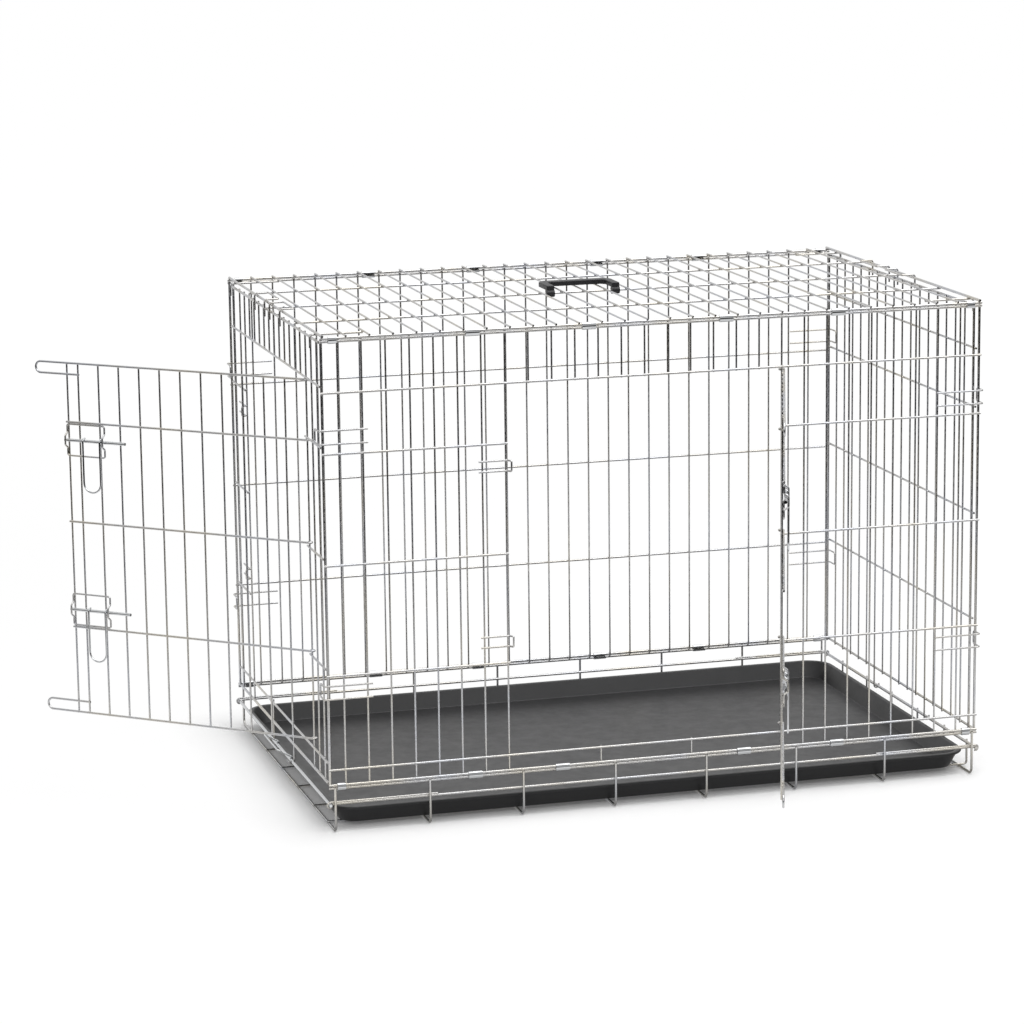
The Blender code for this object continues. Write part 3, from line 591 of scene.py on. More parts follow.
def mixed(nodes, links, factor, first, second, socket):
    """Links a mix of two colours to a socket."""
    made = nodes.new("ShaderNodeMix")
    made.data_type = "RGBA"
    made.inputs["A"].default_value = (*first, 1.0)
    made.inputs["B"].default_value = (*second, 1.0)
    links.new(factor, made.inputs["Factor"])
    links.new(made.outputs["Result"], socket)


def bump(nodes, links, height, strength, distance):
    made = nodes.new("ShaderNodeBump")
    made.inputs["Strength"].default_value = strength
    made.inputs["Distance"].default_value = distance
    links.new(height, made.inputs["Height"])
    return made.outputs["Normal"]


def zinc_material(name, colour, warm, roughness):
    """Plated drawn wire: cool zinc with warmer patches, duller where it pooled, and faintly pitted."""
    material, nodes, links = new_material(name)
    shader = nodes["Principled BSDF"]
    shader.inputs["Metallic"].default_value = 1.0
    place = nodes.new("ShaderNodeTexCoord").outputs["Object"]
    patches = remap(nodes, links, noise(nodes, links, place, ZINC_PATCHES, 3.0), 0.0, 1.0, 0.38, 0.66)
    mixed(nodes, links, patches, colour, warm, shader.inputs["Base Color"])
    pooled = noise(nodes, links, place, ZINC_POOLS, 4.0)
    links.new(remap(nodes, links, pooled, roughness - 0.08, roughness + 0.12), shader.inputs["Roughness"])
    pits = noise(nodes, links, place, ZINC_PITS, 3.0)
    links.new(bump(nodes, links, pits, 0.12, ZINC_PIT_DEPTH), shader.inputs["Normal"])
    return material


def zinc():
    finish = bpy.context.scene.crate_finish
    if "zinc_plated_wire" not in bpy.data.materials:
        zinc_material("zinc_plated_wire", finish.zinc, finish.zinc_warm, finish.zinc_roughness)
    return bpy.data.materials["zinc_plated_wire"]


def bright_zinc():
    finish = bpy.context.scene.crate_finish
    if "bright_zinc" not in bpy.data.materials:
        lighter = [min(part * 1.12, 1.0) for part in finish.zinc]
        zinc_material("bright_zinc", lighter, finish.zinc, finish.zinc_roughness - 0.07)
    return bpy.data.materials["bright_zinc"]


def plastic_material(name, colour, roughness, grain, grain_depth):
    """Moulded plastic: an even colour with a fine spark-eroded grain and faint handling marks."""
    material, nodes, links = new_material(name)
    shader = nodes["Principled BSDF"]
    shader.inputs["Specular IOR Level"].default_value = 0.40
    place = nodes.new("ShaderNodeTexCoord").outputs["Object"]
    clouds = remap(nodes, links, noise(nodes, links, place, PLASTIC_CLOUDS, 4.0), 0.0, 1.0)
    darker, lighter = ([part * gain for part in colour] for gain in (0.90, 1.14))
    mixed(nodes, links, clouds, darker, lighter, shader.inputs["Base Color"])
    marks = noise(nodes, links, place, PLASTIC_MARKS, 6.0, 0.7)
    links.new(remap(nodes, links, marks, roughness - 0.05, roughness + 0.07), shader.inputs["Roughness"])
    fine = noise(nodes, links, place, grain, 2.0)
    links.new(bump(nodes, links, fine, 0.35, grain_depth), shader.inputs["Normal"])
    return material


class Panel:
    """An upright panel: along runs with its rails, out points out of the crate, and foot is its corner."""

    def __init__(self, foot, along, out):
        self.foot = Vector(foot)
        self.along = along
        self.out = out
        self.wires = Wires()
        self.lines = []
        self.posts = []

    def at(self, place, height, out=0.0):
        return self.foot + self.along * place + Z * height + self.out * out

    def rail(self, start, end, height, diameter=BAR_D):
        self.wires.add([self.at(start, height), self.at(end, height)], diameter)
        self.lines.append((start, end, height))

    def upright(self, place, low, high, diameter=WIRE_D):
        inward = WELD - (BAR_D + diameter) / 2
        self.wires.add([self.at(place, low, inward), self.at(place, high, inward)], diameter)
        self.posts.append((place, low, high))

    def uprights(self, places, low, high):
        """An upright at each place, the first and the last of them thick."""
        for place in places:
            self.upright(place, low, high, RAIL_D if place in (places[0], places[-1]) else WIRE_D)

    def hook(self, place, top):
        """A wire that comes down inside the panel and turns under the hinge bar and up outside it."""
        axis = self.at(place, HINGE_BAR_Z, HINGE_BAR_OUT)
        turn = arc(axis, -self.out * HOOK_R, -Z, HOOK_TURN)
        self.wires.add([self.at(place, top, -WIRE_OFF)] + turn, WIRE_D)
        self.posts.append((place, HINGE_BAR_Z, top))

    def stops(self, height, near_end):
        """A hairpin at each panel corner, past the corner and round the end panel's side wire."""
        for place, way in ((0.0, 1.0), (near_end, -1.0)):
            tip = place - way * STOP_OUT
            tail = place + way * STOP_LENGTH
            path = [
                self.at(tail, height + STOP_HALF, THIN_OUT),
                self.at(tip, height + STOP_HALF, THIN_OUT),
                self.at(tip, height + STOP_HALF, -STOP_REACH),
                self.at(tip, height - STOP_HALF, -STOP_REACH),
                self.at(tip, height - STOP_HALF, THIN_OUT),
                self.at(tail, height - STOP_HALF, THIN_OUT),
            ]
            self.wires.add(rounded(path, HOOP_CORNER), WIRE_D)
            for side in (1, -1):
                self.lines.append((min(place, tail), max(place, tail), height + side * STOP_HALF))

    def keeper(self, node, edge, way, height):
        """A hairpin on the strip beside a doorway, its closed end bowed out over the bolt's path."""
        wires = Wires()
        on_uprights = THIN_OUT + WELD + KEEPER_GAP
        tail = edge - way * KEEPER_TAIL
        tip = edge + way * KEEPER_REACH
        path = []
        for side in (1, -1):
            level = height + side * KEEPER_HALF
            leg = [
                self.at(tail, level, on_uprights),
                self.at(tip - way * EYE_SLOPE, level, on_uprights),
                self.at(tip, level, DOOR_OUT + EYE_OUT),
            ]
            path += leg if side > 0 else list(reversed(leg))
            for post, low, high in self.posts:
                if min(tail, edge) - OVERHANG < post < max(tail, edge) + OVERHANG and low < level < high:
                    wires.weld(self.at(post, level, on_uprights - WIRE_D / 2))
        wires.add(rounded(path, bpy.context.scene.crate_sizes.bend), WIRE_D)
        finish_wires(node, wires)

    def hoops(self, pairs):
        """U wires that rise outside an end panel's top wire and hook inward over the top panel's end rail."""
        out = (RAIL_D + WIRE_D) / 2 - WELD
        low = END_TOP_Z - HOOP_TAIL
        for start, end in pairs:
            leg = [(start, low, out), (start, HOOP_Z, out), (start, HOOP_Z, -HOOP_REACH)]
            other_leg = [(end, height, place) for _, height, place in reversed(leg)]
            path = [self.at(*point) for point in leg + other_leg]
            self.wires.add(rounded(path, HOOP_CORNER), WIRE_D)
            for place in (start, end):
                self.wires.weld(self.at(place, END_TOP_Z, RAIL_D / 2))

    def set_welds(self):
        """A weld wherever an upright crosses a rail."""
        edge = OVERHANG / 2
        for start, end, height in self.lines:
            for place, low, high in self.posts:
                if start - edge < place < end + edge and low < height < high:
                    self.wires.weld(self.at(place, height, -BAR_D / 2))


class Door:
    """A door at rest, in its own frame: reach is measured from the hinge axis, out is outward."""

    def __init__(self, hinge, reach, out, degrees):
        turn = Matrix.Rotation(math.radians(degrees), 3, "Z")
        self.hinge = Vector(hinge)
        self.reach = turn @ reach
        self.out = turn @ out
        self.wires = Wires()

    def at(self, reach, height, out=0.0):
        """out is counted from the plane of the door's rails."""
        return self.hinge + self.reach * reach + Z * height + self.out * (HINGE_R + out)

    def curl(self, height):
        """The end of a rail, turned round the doorway's upright."""
        return arc(self.hinge + Z * height, self.out * HINGE_R, -self.reach, CURL_TURN)

    def looped_rail(self, height, rise):
        """The top or bottom rail: past the free edge it turns back as a hairpin."""
        tip = DOOR_WIDTH + DOOR_LOOP_REACH
        back = DOOR_WIDTH - LEAST_GAP - DOOR_LOOP_RETURN
        radius = abs(rise) / 2
        middle = self.at(tip - radius, height + rise / 2)
        way = 1 if rise > 0 else -1
        bend = arc(middle, -Z * way * radius, self.reach, 180)
        path = list(reversed(self.curl(height))) + bend + [self.at(back, height + rise)]
        self.wires.add(path, BAR_D)

    def bracket(self, height):
        """A wire bent round the bolt: two long legs, joined at each end by an eye that bows out over it."""
        near = DOOR_WIDTH + BRACKET_NEAR
        far = near - BRACKET_LENGTH
        half = BRACKET_HEIGHT / 2
        middle = (near + far) / 2
        seam = PAIR_GAP / 2
        foot = EYE_HALF + EYE_SLOPE
        path = [self.at(middle + seam, height + half, THIN_OUT)]
        for place, way in ((near, 1), (far, -1)):
            path.append(self.at(place, height + way * half, THIN_OUT))
            eye = ((foot, THIN_OUT), (EYE_HALF, EYE_OUT), (-EYE_HALF, EYE_OUT), (-foot, THIN_OUT))
            for level, out in eye:
                path.append(self.at(place, height + way * level, out))
            path.append(self.at(place, height - way * half, THIN_OUT))
        path.append(self.at(middle - seam, height + half, THIN_OUT))
        self.wires.add(rounded(path, bpy.context.scene.crate_sizes.bend * 1.5), WIRE_D)

    def build(self):
        low = SILL_Z + DOOR_FOOT_RISE
        high = HEADER_Z - DOOR_TOP_DROP
        self.looped_rail(high, -DOOR_LOOP_HEIGHT)
        self.looped_rail(low, DOOR_LOOP_HEIGHT)
        for height in DOOR_ROWS:
            path = list(reversed(self.curl(height))) + [self.at(DOOR_WIDTH + OVERHANG, height)]
            self.wires.add(path, BAR_D)
        for height in BOLT_HEIGHTS.values():
            self.bracket(height)
        places = [PITCH * i for i in range(1, DOORWAY_GAPS)] + [DOOR_WIDTH]
        for place in places:
            heights = (low - OVERHANG, high + OVERHANG - WIRE_D / 2)
            self.wires.add([self.at(place, height, -WIRE_OFF) for height in heights], WIRE_D)
            for height in (low + BEAD_IN, *DOOR_ROWS, high - BEAD_IN):
                self.wires.weld(self.at(place, height, -BAR_D / 2))
            if place > DOOR_WIDTH - LEAST_GAP - WIRE_D:
                for height in (low + DOOR_LOOP_HEIGHT, high - DOOR_LOOP_HEIGHT):
                    self.wires.weld(self.at(place, height, -BAR_D / 2))


def doors():
    """The two doors by name, each in its place at rest."""
    front = Door((DOORWAY_X + DOORWAY_WIDTH, WIRE_OFF, 0), -X, -Y, FRONT_DOOR_ANGLE)
    end = Door((WIRE_OFF, DOORWAY_Y, END_ROW_RISE), Y, -X, END_DOOR_ANGLE)
    return {"front": front, "end": end}


def hooked_stop_rows():
    return ROWS[1] - STOP_ABOVE_ROW, ROWS[3] + STOP_ABOVE_ROW


class CRATE_OT_front_panel(bpy.types.Operator):
    """Make the front panel's wires, with its doorway, keepers and corner stops"""

    bl_idname = "crate.front_panel"
    bl_label = "Front panel"

    def execute(self, context):
        panel = Panel((0, 0, 0), X, -Y)
        left, right = beside(0.0, LENGTH, DOORWAY_X, DOORWAY_X + DOORWAY_WIDTH)
        over = OVERHANG
        for height, diameter in ((PANEL_TOP, RAIL_D), (ROWS[0], RAIL_D), (HEADER_Z, BAR_D), (SILL_Z, BAR_D)):
            panel.rail(-over, LENGTH + over, height, diameter)
        for height in ROWS[1:]:
            panel.rail(-over, left[-1] + over, height)
            panel.rail(right[0] - over, LENGTH + over, height)
        panel.uprights(left + right, ROWS[0] - over, PANEL_TOP + over)
        for i in range(1, DOORWAY_GAPS):
            panel.upright(DOORWAY_X + PITCH * i, HEADER_Z - over, PANEL_TOP + over)
        for share in (1, 2):
            panel.upright(DOORWAY_X + DOORWAY_WIDTH * share / 3, ROWS[0] - over, SILL_Z + over)
        for height in hooked_stop_rows():
            panel.stops(height, LENGTH)
        for place, height in BOLT_HEIGHTS.items():
            panel.keeper(f"front_{place}_keeper", DOORWAY_X, 1, height)
        panel.set_welds()
        finish_wires("front_panel", panel.wires)
        return {"FINISHED"}


class CRATE_OT_back_panel(bpy.types.Operator):
    """Make the back panel's wires and corner stops"""

    bl_idname = "crate.back_panel"
    bl_label = "Back panel"

    def execute(self, context):
        panel = Panel((0, WIDTH, 0), X, Y)
        for height in ROWS + [PANEL_TOP]:
            outer = height in (ROWS[0], PANEL_TOP)
            panel.rail(-OVERHANG, LENGTH + OVERHANG, height, RAIL_D if outer else BAR_D)
        places = spread(0.0, LENGTH, BACK_PITCH)
        panel.uprights(places, ROWS[0] - OVERHANG, PANEL_TOP + OVERHANG)
        for height in hooked_stop_rows():
            panel.stops(height, LENGTH)
        panel.set_welds()
        finish_wires("back_panel", panel.wires)
        return {"FINISHED"}


class CRATE_OT_end_panels(bpy.types.Operator):
    """Make the left end panel with its doorway, and the plain right end panel"""

    bl_idname = "crate.end_panels"
    bl_label = "End panels"

    def execute(self, context):
        start, end = END_INSET, WIDTH - END_INSET
        self.right_end(start, end)
        self.left_end(start, end)
        return {"FINISHED"}

    def right_end(self, start, end):
        panel = Panel((LENGTH, 0, 0), Y, X)
        for height in (END_TOP_Z, ROWS[0]):
            panel.rail(start - OVERHANG, end + OVERHANG, height, RAIL_D)
        for height in ROWS[1:] + [HEADER_Z]:
            panel.rail(start - OVERHANG, end + OVERHANG, height + END_ROW_RISE)
        places = spread(start, end, END_PITCH)
        hooked = [places[i] for i in RIGHT_HOOKS]
        for place in places:
            if place in hooked:
                panel.hook(place, END_TOP_Z + OVERHANG)
            else:
                diameter = RAIL_D if place in (start, end) else WIRE_D
                panel.upright(place, ROWS[0] - OVERHANG, END_TOP_Z + OVERHANG, diameter)
        middle = len(places) // 2
        panel.hoops([(places[middle - 2], places[middle]), (places[middle + 1], places[middle + 3])])
        panel.set_welds()
        finish_wires("right_end_panel", panel.wires)

    def left_end(self, start, end):
        panel = Panel((0, 0, 0), Y, -X)
        front, back = beside(start, end, DOORWAY_Y, DOORWAY_Y + DOORWAY_WIDTH)
        header, sill = HEADER_Z + END_ROW_RISE, SILL_Z + END_ROW_RISE
        for height, diameter in ((END_TOP_Z, RAIL_D), (ROWS[0], RAIL_D), (header, BAR_D), (sill, BAR_D)):
            panel.rail(start - OVERHANG, end + OVERHANG, height, diameter)
        for height in ROWS[1:]:
            panel.rail(start - OVERHANG, front[-1] + OVERHANG, height + END_ROW_RISE)
            panel.rail(back[0] - OVERHANG, end + OVERHANG, height + END_ROW_RISE)
        panel.uprights(front + back, ROWS[0] - OVERHANG, END_TOP_Z + OVERHANG)
        for i in range(1, DOORWAY_GAPS):
            panel.upright(DOORWAY_Y + PITCH * i, header - OVERHANG, END_TOP_Z + OVERHANG)
        for share in (1, 2):
            panel.hook(DOORWAY_Y + DOORWAY_WIDTH * share / 3, sill + OVERHANG)
        for place, height in BOLT_HEIGHTS.items():
            panel.keeper(f"end_{place}_keeper", DOORWAY_Y + DOORWAY_WIDTH, -1, height + END_ROW_RISE)
        middle = DOORWAY_Y + DOORWAY_WIDTH / 2
        panel.hoops([(middle - PITCH * 2, middle), (middle + PITCH, middle + PITCH * 3)])
        panel.set_welds()
        finish_wires("left_end_panel", panel.wires)


class CRATE_OT_top_panel(bpy.types.Operator):
    """Make the top panel's long wires, cross wires and end stops"""

    bl_idname = "crate.top_panel"
    bl_label = "Top panel"

    def execute(self, context):
        wires = Wires()
        rows = [WIDTH * i / TOP_LONG_GAPS for i in range(TOP_LONG_GAPS + 1)]
        for y in rows:
            diameter = RAIL_D if y in (rows[0], rows[-1]) else BAR_D
            wires.add([(-OVERHANG, y, TOP_RAIL_Z), (LENGTH + OVERHANG, y, TOP_RAIL_Z)], diameter)
        stop_rows = (TOP_STOP_Y, WIDTH - TOP_STOP_Y)
        places = spread(TOP_RAIL_IN, LENGTH - TOP_RAIL_IN, BACK_PITCH)
        for x in places:
            edge = x in (places[0], places[-1])
            z = TOP_EDGE_Z if edge else TOP_WIRE_Z
            wires.add([(x, -OVERHANG, z), (x, WIDTH + OVERHANG, z)], RAIL_D if edge else WIRE_D)
            near_end = min(x, LENGTH - x) < TOP_STOP_LENGTH
            for y in rows + list(stop_rows if near_end else ()):
                wires.weld((x, y, TOP_RAIL_Z + BAR_D / 2))
        for y in stop_rows:
            for place, way in ((0.0, 1), (LENGTH, -1)):
                tip = place - way * STOP_OUT
                path = [
                    Vector((place + way * TOP_STOP_LENGTH, y, TOP_RAIL_Z)),
                    Vector((tip, y, TOP_RAIL_Z)),
                    Vector((tip, y, TOP_RAIL_Z - TOP_STOP_DROP)),
                ]
                wires.add(rounded(path, HOOP_CORNER), BAR_D)
        finish_wires("top_panel", wires)
        return {"FINISHED"}


class CRATE_OT_base_frame(bpy.types.Operator):
    """Make the base: rails, foot and floor wires, hinge eyes, and the right and the loose left hinge bar"""

    bl_idname = "crate.base_frame"
    bl_label = "Base frame"

    def execute(self, context):
        wires = Wires()
        bar_left = -HINGE_BAR_OUT
        bar_right = LENGTH + HINGE_BAR_OUT
        clear = HINGE_BAR_D / 2 + PAIR_GAP * 2
        legs = [LEG_FIRST_X + (LENGTH - 2 * LEG_FIRST_X) * i / (LEG_COUNT - 1) for i in range(LEG_COUNT)]
        leg_out = CROSS_D * (1 + FLAT) / 2 - WELD
        for y, way in ((0.0, -1), (WIDTH, 1)):
            wires.add([(-OVERHANG, y, BASE_RAIL_Z), (LENGTH + OVERHANG, y, BASE_RAIL_Z)], RAIL_D)
            wires.add([(bar_left + clear, y, MID_RAIL_Z), (bar_right - clear, y, MID_RAIL_Z)], CROSS_D)
            for x in legs:
                for z in (BASE_RAIL_Z, MID_RAIL_Z):
                    wires.weld((x, y + way * CROSS_D / 2, z))
            for bar, inward in ((bar_left, 1), (bar_right, -1)):
                axis = Vector((bar, y, HINGE_BAR_Z))
                curl = arc(axis, Z * EYE_R, -X * inward, EYE_TURN)
                wires.add([Vector((bar + inward * EYE_ROD_LENGTH, y, EYE_ROD_Z))] + curl, EYE_ROD_D)
        top = BASE_RAIL_Z + LEG_ABOVE_RAIL
        for x in legs:
            foot = CROSS_D / 2
            path = [(-leg_out, top), (-leg_out, foot), (WIDTH + leg_out, foot), (WIDTH + leg_out, top)]
            wires.add(rounded([Vector((x, y, z)) for y, z in path], LEG_CORNER), CROSS_D)
        riser = bar_right + (HINGE_BAR_D + BAR_D) / 2 - WELD
        for y in [FLOOR_FIRST_Y] + [FLOOR_SECOND_Y + FLOOR_PITCH * i for i in range(FLOOR_COUNT - 1)]:
            path = [(LEG_FIRST_X - OVERHANG, LONG_Z), (riser, LONG_Z), (riser, HINGE_BAR_Z + OVERHANG)]
            wires.add(rounded([Vector((x, y, z)) for x, z in path], LEG_CORNER / 2), BAR_D)
            for x in legs:
                wires.weld((x, y, LONG_Z - BAR_D / 2))
            wires.weld((riser - BAR_D / 2, y, HINGE_BAR_Z))
        wires.add([(bar_right, -RAIL_D, HINGE_BAR_Z), (bar_right, WIDTH + RAIL_D, HINGE_BAR_Z)], HINGE_BAR_D)
        finish_wires("base_frame", wires)
        bar = Wires()
        bar.add([(bar_left, -RAIL_D, HINGE_BAR_Z), (bar_left, WIDTH + RAIL_D, HINGE_BAR_Z)], HINGE_BAR_D)
        finish_wires("left_hinge_bar", bar, "crate", "bright_zinc")
        return {"FINISHED"}


class CRATE_OT_doors(bpy.types.Operator):
    """Make both doors, with their curled hinge ends, hairpin loops and bolt brackets"""

    bl_idname = "crate.doors"
    bl_label = "Doors"

    def execute(self, context):
        for name, door in doors().items():
            door.build()
            finish_wires(f"{name}_door", door.wires, f"{name}_door")
        return {"FINISHED"}


class CRATE_OT_bolts(bpy.types.Operator):
    """Make the four slide bolts, each with its finger loop"""

    bl_idname = "crate.bolts"
    bl_label = "Bolts and finger loops"

    def execute(self, context):
        for name, door in doors().items():
            for place, height in BOLT_HEIGHTS.items():
                self.bolt(f"{name}_{place}_bolt", door, height)
                self.finger_loop(f"{name}_{place}_finger_loop", door, height)
        return {"FINISHED"}

    def bolt(self, node, door, height):
        wires = Wires()
        tip = DOOR_WIDTH + BOLT_TIP
        ends = [door.at(place, height, BOLT_OUT) for place in (tip, tip - BOLT_LENGTH)]
        wires.add(ends, BOLT_D)
        finish_wires(node, wires, node, "bright_zinc")

    def finger_loop(self, node, door, height):
        wires = Wires()
        near = DOOR_WIDTH - FINGER_NEAR
        far = near - FINGER_WIDTH
        turn_r = (BOLT_D + WIRE_D) / 2 + TURN_GAP
        low = height - FINGER_DROP + FINGER_WIDTH / 2
        middle = door.at((near + far) / 2, low, BOLT_OUT + turn_r)
        curls = [
            arc(door.at(place, height, BOLT_OUT), door.out * turn_r, Z, FINGER_WRAP) for place in (near, far)
        ]
        bend = arc(middle, door.reach * FINGER_WIDTH / 2, -Z, 180)
        wires.add(list(reversed(curls[0])) + bend + curls[1], WIRE_D)
        finish_wires(node, wires, node, "bright_zinc")


class CRATE_OT_tray_stop(bpy.types.Operator):
    """Make the wire bail on the left hinge bar"""

    bl_idname = "crate.tray_stop"
    bl_label = "Tray stop"

    def execute(self, context):
        wires = Wires()
        turn_r = (HINGE_BAR_D + WIRE_D) / 2 + TURN_GAP
        raised = math.radians(TRAY_STOP_RAISED)
        down = Vector((-math.sin(raised), 0, -math.cos(raised)))
        outward = Vector((-math.cos(raised), 0, math.sin(raised)))
        path = []
        for y, order in ((TRAY_STOP_Y, 1), (TRAY_STOP_Y + TRAY_STOP_WIDTH, -1)):
            axis = Vector((-HINGE_BAR_OUT, y, HINGE_BAR_Z))
            leg = [axis + outward * turn_r + down * TRAY_STOP_DROP]
            leg += arc(axis, outward * turn_r, -down, TRAY_STOP_TURN)
            path += list(reversed(leg)) if order > 0 else leg
        wires.add(rounded(path, context.scene.crate_sizes.bend, 4), WIRE_D)
        finish_wires("tray_stop", wires, "tray_stop", "bright_zinc")
        return {"FINISHED"}


def placed(name, bm, material):
    """Makes a finished object from a mesh laid out in the layout's frame."""
    bmesh.ops.translate(bm, vec=-ORIGIN, verts=bm.verts)
    bmesh.ops.recalc_face_normals(bm, faces=bm.faces)
    for face in bm.faces:
        face.smooth = True
    mesh = bpy.data.meshes.new(name)
    bm.to_mesh(mesh)
    bm.free()
    mesh.materials.append(material)
    return link_mesh(name, mesh)


def rounded_rectangle(x0, y0, x1, y1, radius, z, steps=14):
    ring = []
    for cx, cy, quarter in ((x1, y1, 0), (x0, y1, 1), (x0, y0, 2), (x1, y0, 3)):
        centre_x = cx + (radius if cx == x0 else -radius)
        centre_y = cy + (radius if cy == y0 else -radius)
        for i in range(steps + 1):
            turn = math.pi / 2 * (quarter + i / steps)
            ring.append(Vector((centre_x + radius * math.cos(turn), centre_y + radius * math.sin(turn), z)))
    return ring


class CRATE_OT_tray(bpy.types.Operator):
    """Make the moulded tray, with sloping walls, a filleted floor and a rolled lip"""

    bl_idname = "crate.tray"
    bl_label = "Tray"

    def execute(self, context):
        bottom = LONG_Z + BAR_D / 2 + TRAY_FLOOR_GAP
        x0, x1 = TRAY_LEFT_X, LENGTH - TRAY_RIGHT_GAP
        y0, y1 = TRAY_SIDE_GAP, WIDTH - TRAY_SIDE_GAP
        bm = bmesh.new()
        rings = []
        for inset, z in self.section(bottom):
            ring = rounded_rectangle(x0 + inset, y0 + inset, x1 - inset, y1 - inset, TRAY_CORNER_R - inset, z)
            rings.append([bm.verts.new(point) for point in ring])
        for low, high in zip(rings, rings[1:]):
            for k in range(len(low)):
                bm.faces.new((low[k - 1], low[k], high[k], high[k - 1]))
        bm.faces.new(list(reversed(rings[0])))
        bm.faces.new(rings[-1])
        finish = context.scene.crate_finish
        material = plastic_material("tray_moulded_plastic", finish.tray, *TRAY_SURFACE)
        piece = placed("moulded_tray", bm, material)
        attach(piece, "tray")
        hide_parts("tray")
        return {"FINISHED"}

    def section(self, bottom):
        """The wall's section from the middle of the underside round the lip to the middle of the floor."""
        lip, wall, draft = TRAY_LIP, TRAY_WALL, TRAY_DRAFT
        top = bottom + TRAY_HEIGHT
        outer = [Vector((point[0], 0, point[1])) for point in (
            (lip + draft + wall * 4, bottom),
            (lip + draft + wall * 0.6, bottom),
            (lip, top - wall * 2),
            (0.0, top - wall * 1.9),
            (0.0, top),
            (lip + wall, top),
            (lip + draft + wall * 1.6, bottom + wall),
            (lip + draft + wall * 8, bottom + wall),
        )]
        return [(point.x, point.z) for point in rounded(outer, wall * 0.9, 4)]


class CRATE_OT_handle(bpy.types.Operator):
    """Make the ribbed grip with its two arms and snap sleeves"""

    bl_idname = "crate.handle"
    bl_label = "Carry handle"

    def execute(self, context):
        finish = context.scene.crate_finish
        material = plastic_material("handle_moulded_plastic", finish.handle, *HANDLE_SURFACE)
        bore = BAR_D / 2 + TURN_GAP
        outer = bore + SLEEVE_WALL
        grip = placed("handle_grip", self.bow(outer), material)
        bevel = grip.modifiers.new("Soft edges", "BEVEL")
        bevel.width = GRIP_EDGE_R
        bevel.segments = 3
        bevel.limit_method = "ANGLE"
        sleeves = placed("handle_sleeves", self.sleeves(bore, outer), material)
        for piece in (grip, sleeves):
            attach(piece, "handle")
            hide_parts("handle")
        return {"FINISHED"}

    def sleeves(self, bore, outer):
        bm = bmesh.new()
        steps = 24
        half = math.asin(SLEEVE_SLOT / 2 / outer)
        turns = [-math.pi / 2 + half + (math.tau - 2 * half) * i / steps for i in range(steps + 1)]
        outline = [(outer, turn) for turn in turns] + [(bore, turn) for turn in reversed(turns)]
        for x in (HANDLE_LEFT_X, HANDLE_LEFT_X + HANDLE_SPAN):
            ring = []
            for radius, turn in outline:
                y = WIDTH / 2 + radius * math.cos(turn)
                z = TOP_RAIL_Z + radius * math.sin(turn)
                ring.append((x - SLEEVE_LENGTH / 2, y, z))
            extruded(bm, ring, X * SLEEVE_LENGTH)
        return bm

    def bow(self, outer):
        """The arms and the grip as one outline seen from above, ribbed along the finger side."""
        axis_y = WIDTH / 2
        left = HANDLE_LEFT_X - SLEEVE_LENGTH / 2
        right = HANDLE_LEFT_X + HANDLE_SPAN + SLEEVE_LENGTH / 2
        arm = SLEEVE_LENGTH
        far = axis_y + HANDLE_REACH
        inner = far - GRIP_W
        root = axis_y - outer / 2
        outline = [(left, root), (left + arm, root), (left + arm, inner - arm / 2)]
        run = right - left - 3 * arm
        steps = (RIB_COUNT - 1) * 4
        for i in range(steps + 1):
            ripple = (1 - math.cos(math.tau * i / 4)) / 2
            outline.append((left + arm * 1.5 + run * i / steps, inner - RIB_DEPTH * ripple))
        outline += [(right - arm, inner - arm / 2), (right - arm, root), (right, root)]
        outline += [(right, far - arm), (right - arm / 2, far - arm / 4), (right - arm, far)]
        outline += [(left + arm, far), (left + arm / 2, far - arm / 4), (left, far - arm)]
        bm = bmesh.new()
        low = TOP_WIRE_Z + WIRE_D / 2 + TURN_GAP
        extruded(bm, [(x, y, low) for x, y in outline], Z * GRIP_T)
        return bm


def extruded(bm, outline, shift):
    """A solid between an outline and the same outline moved by shift."""
    near = [bm.verts.new(point) for point in outline]
    far = [bm.verts.new(Vector(point) + shift) for point in outline]
    bm.faces.new(near)
    bm.faces.new(list(reversed(far)))
    for k in range(len(near)):
        bm.faces.new((near[k - 1], far[k - 1], far[k], near[k]))


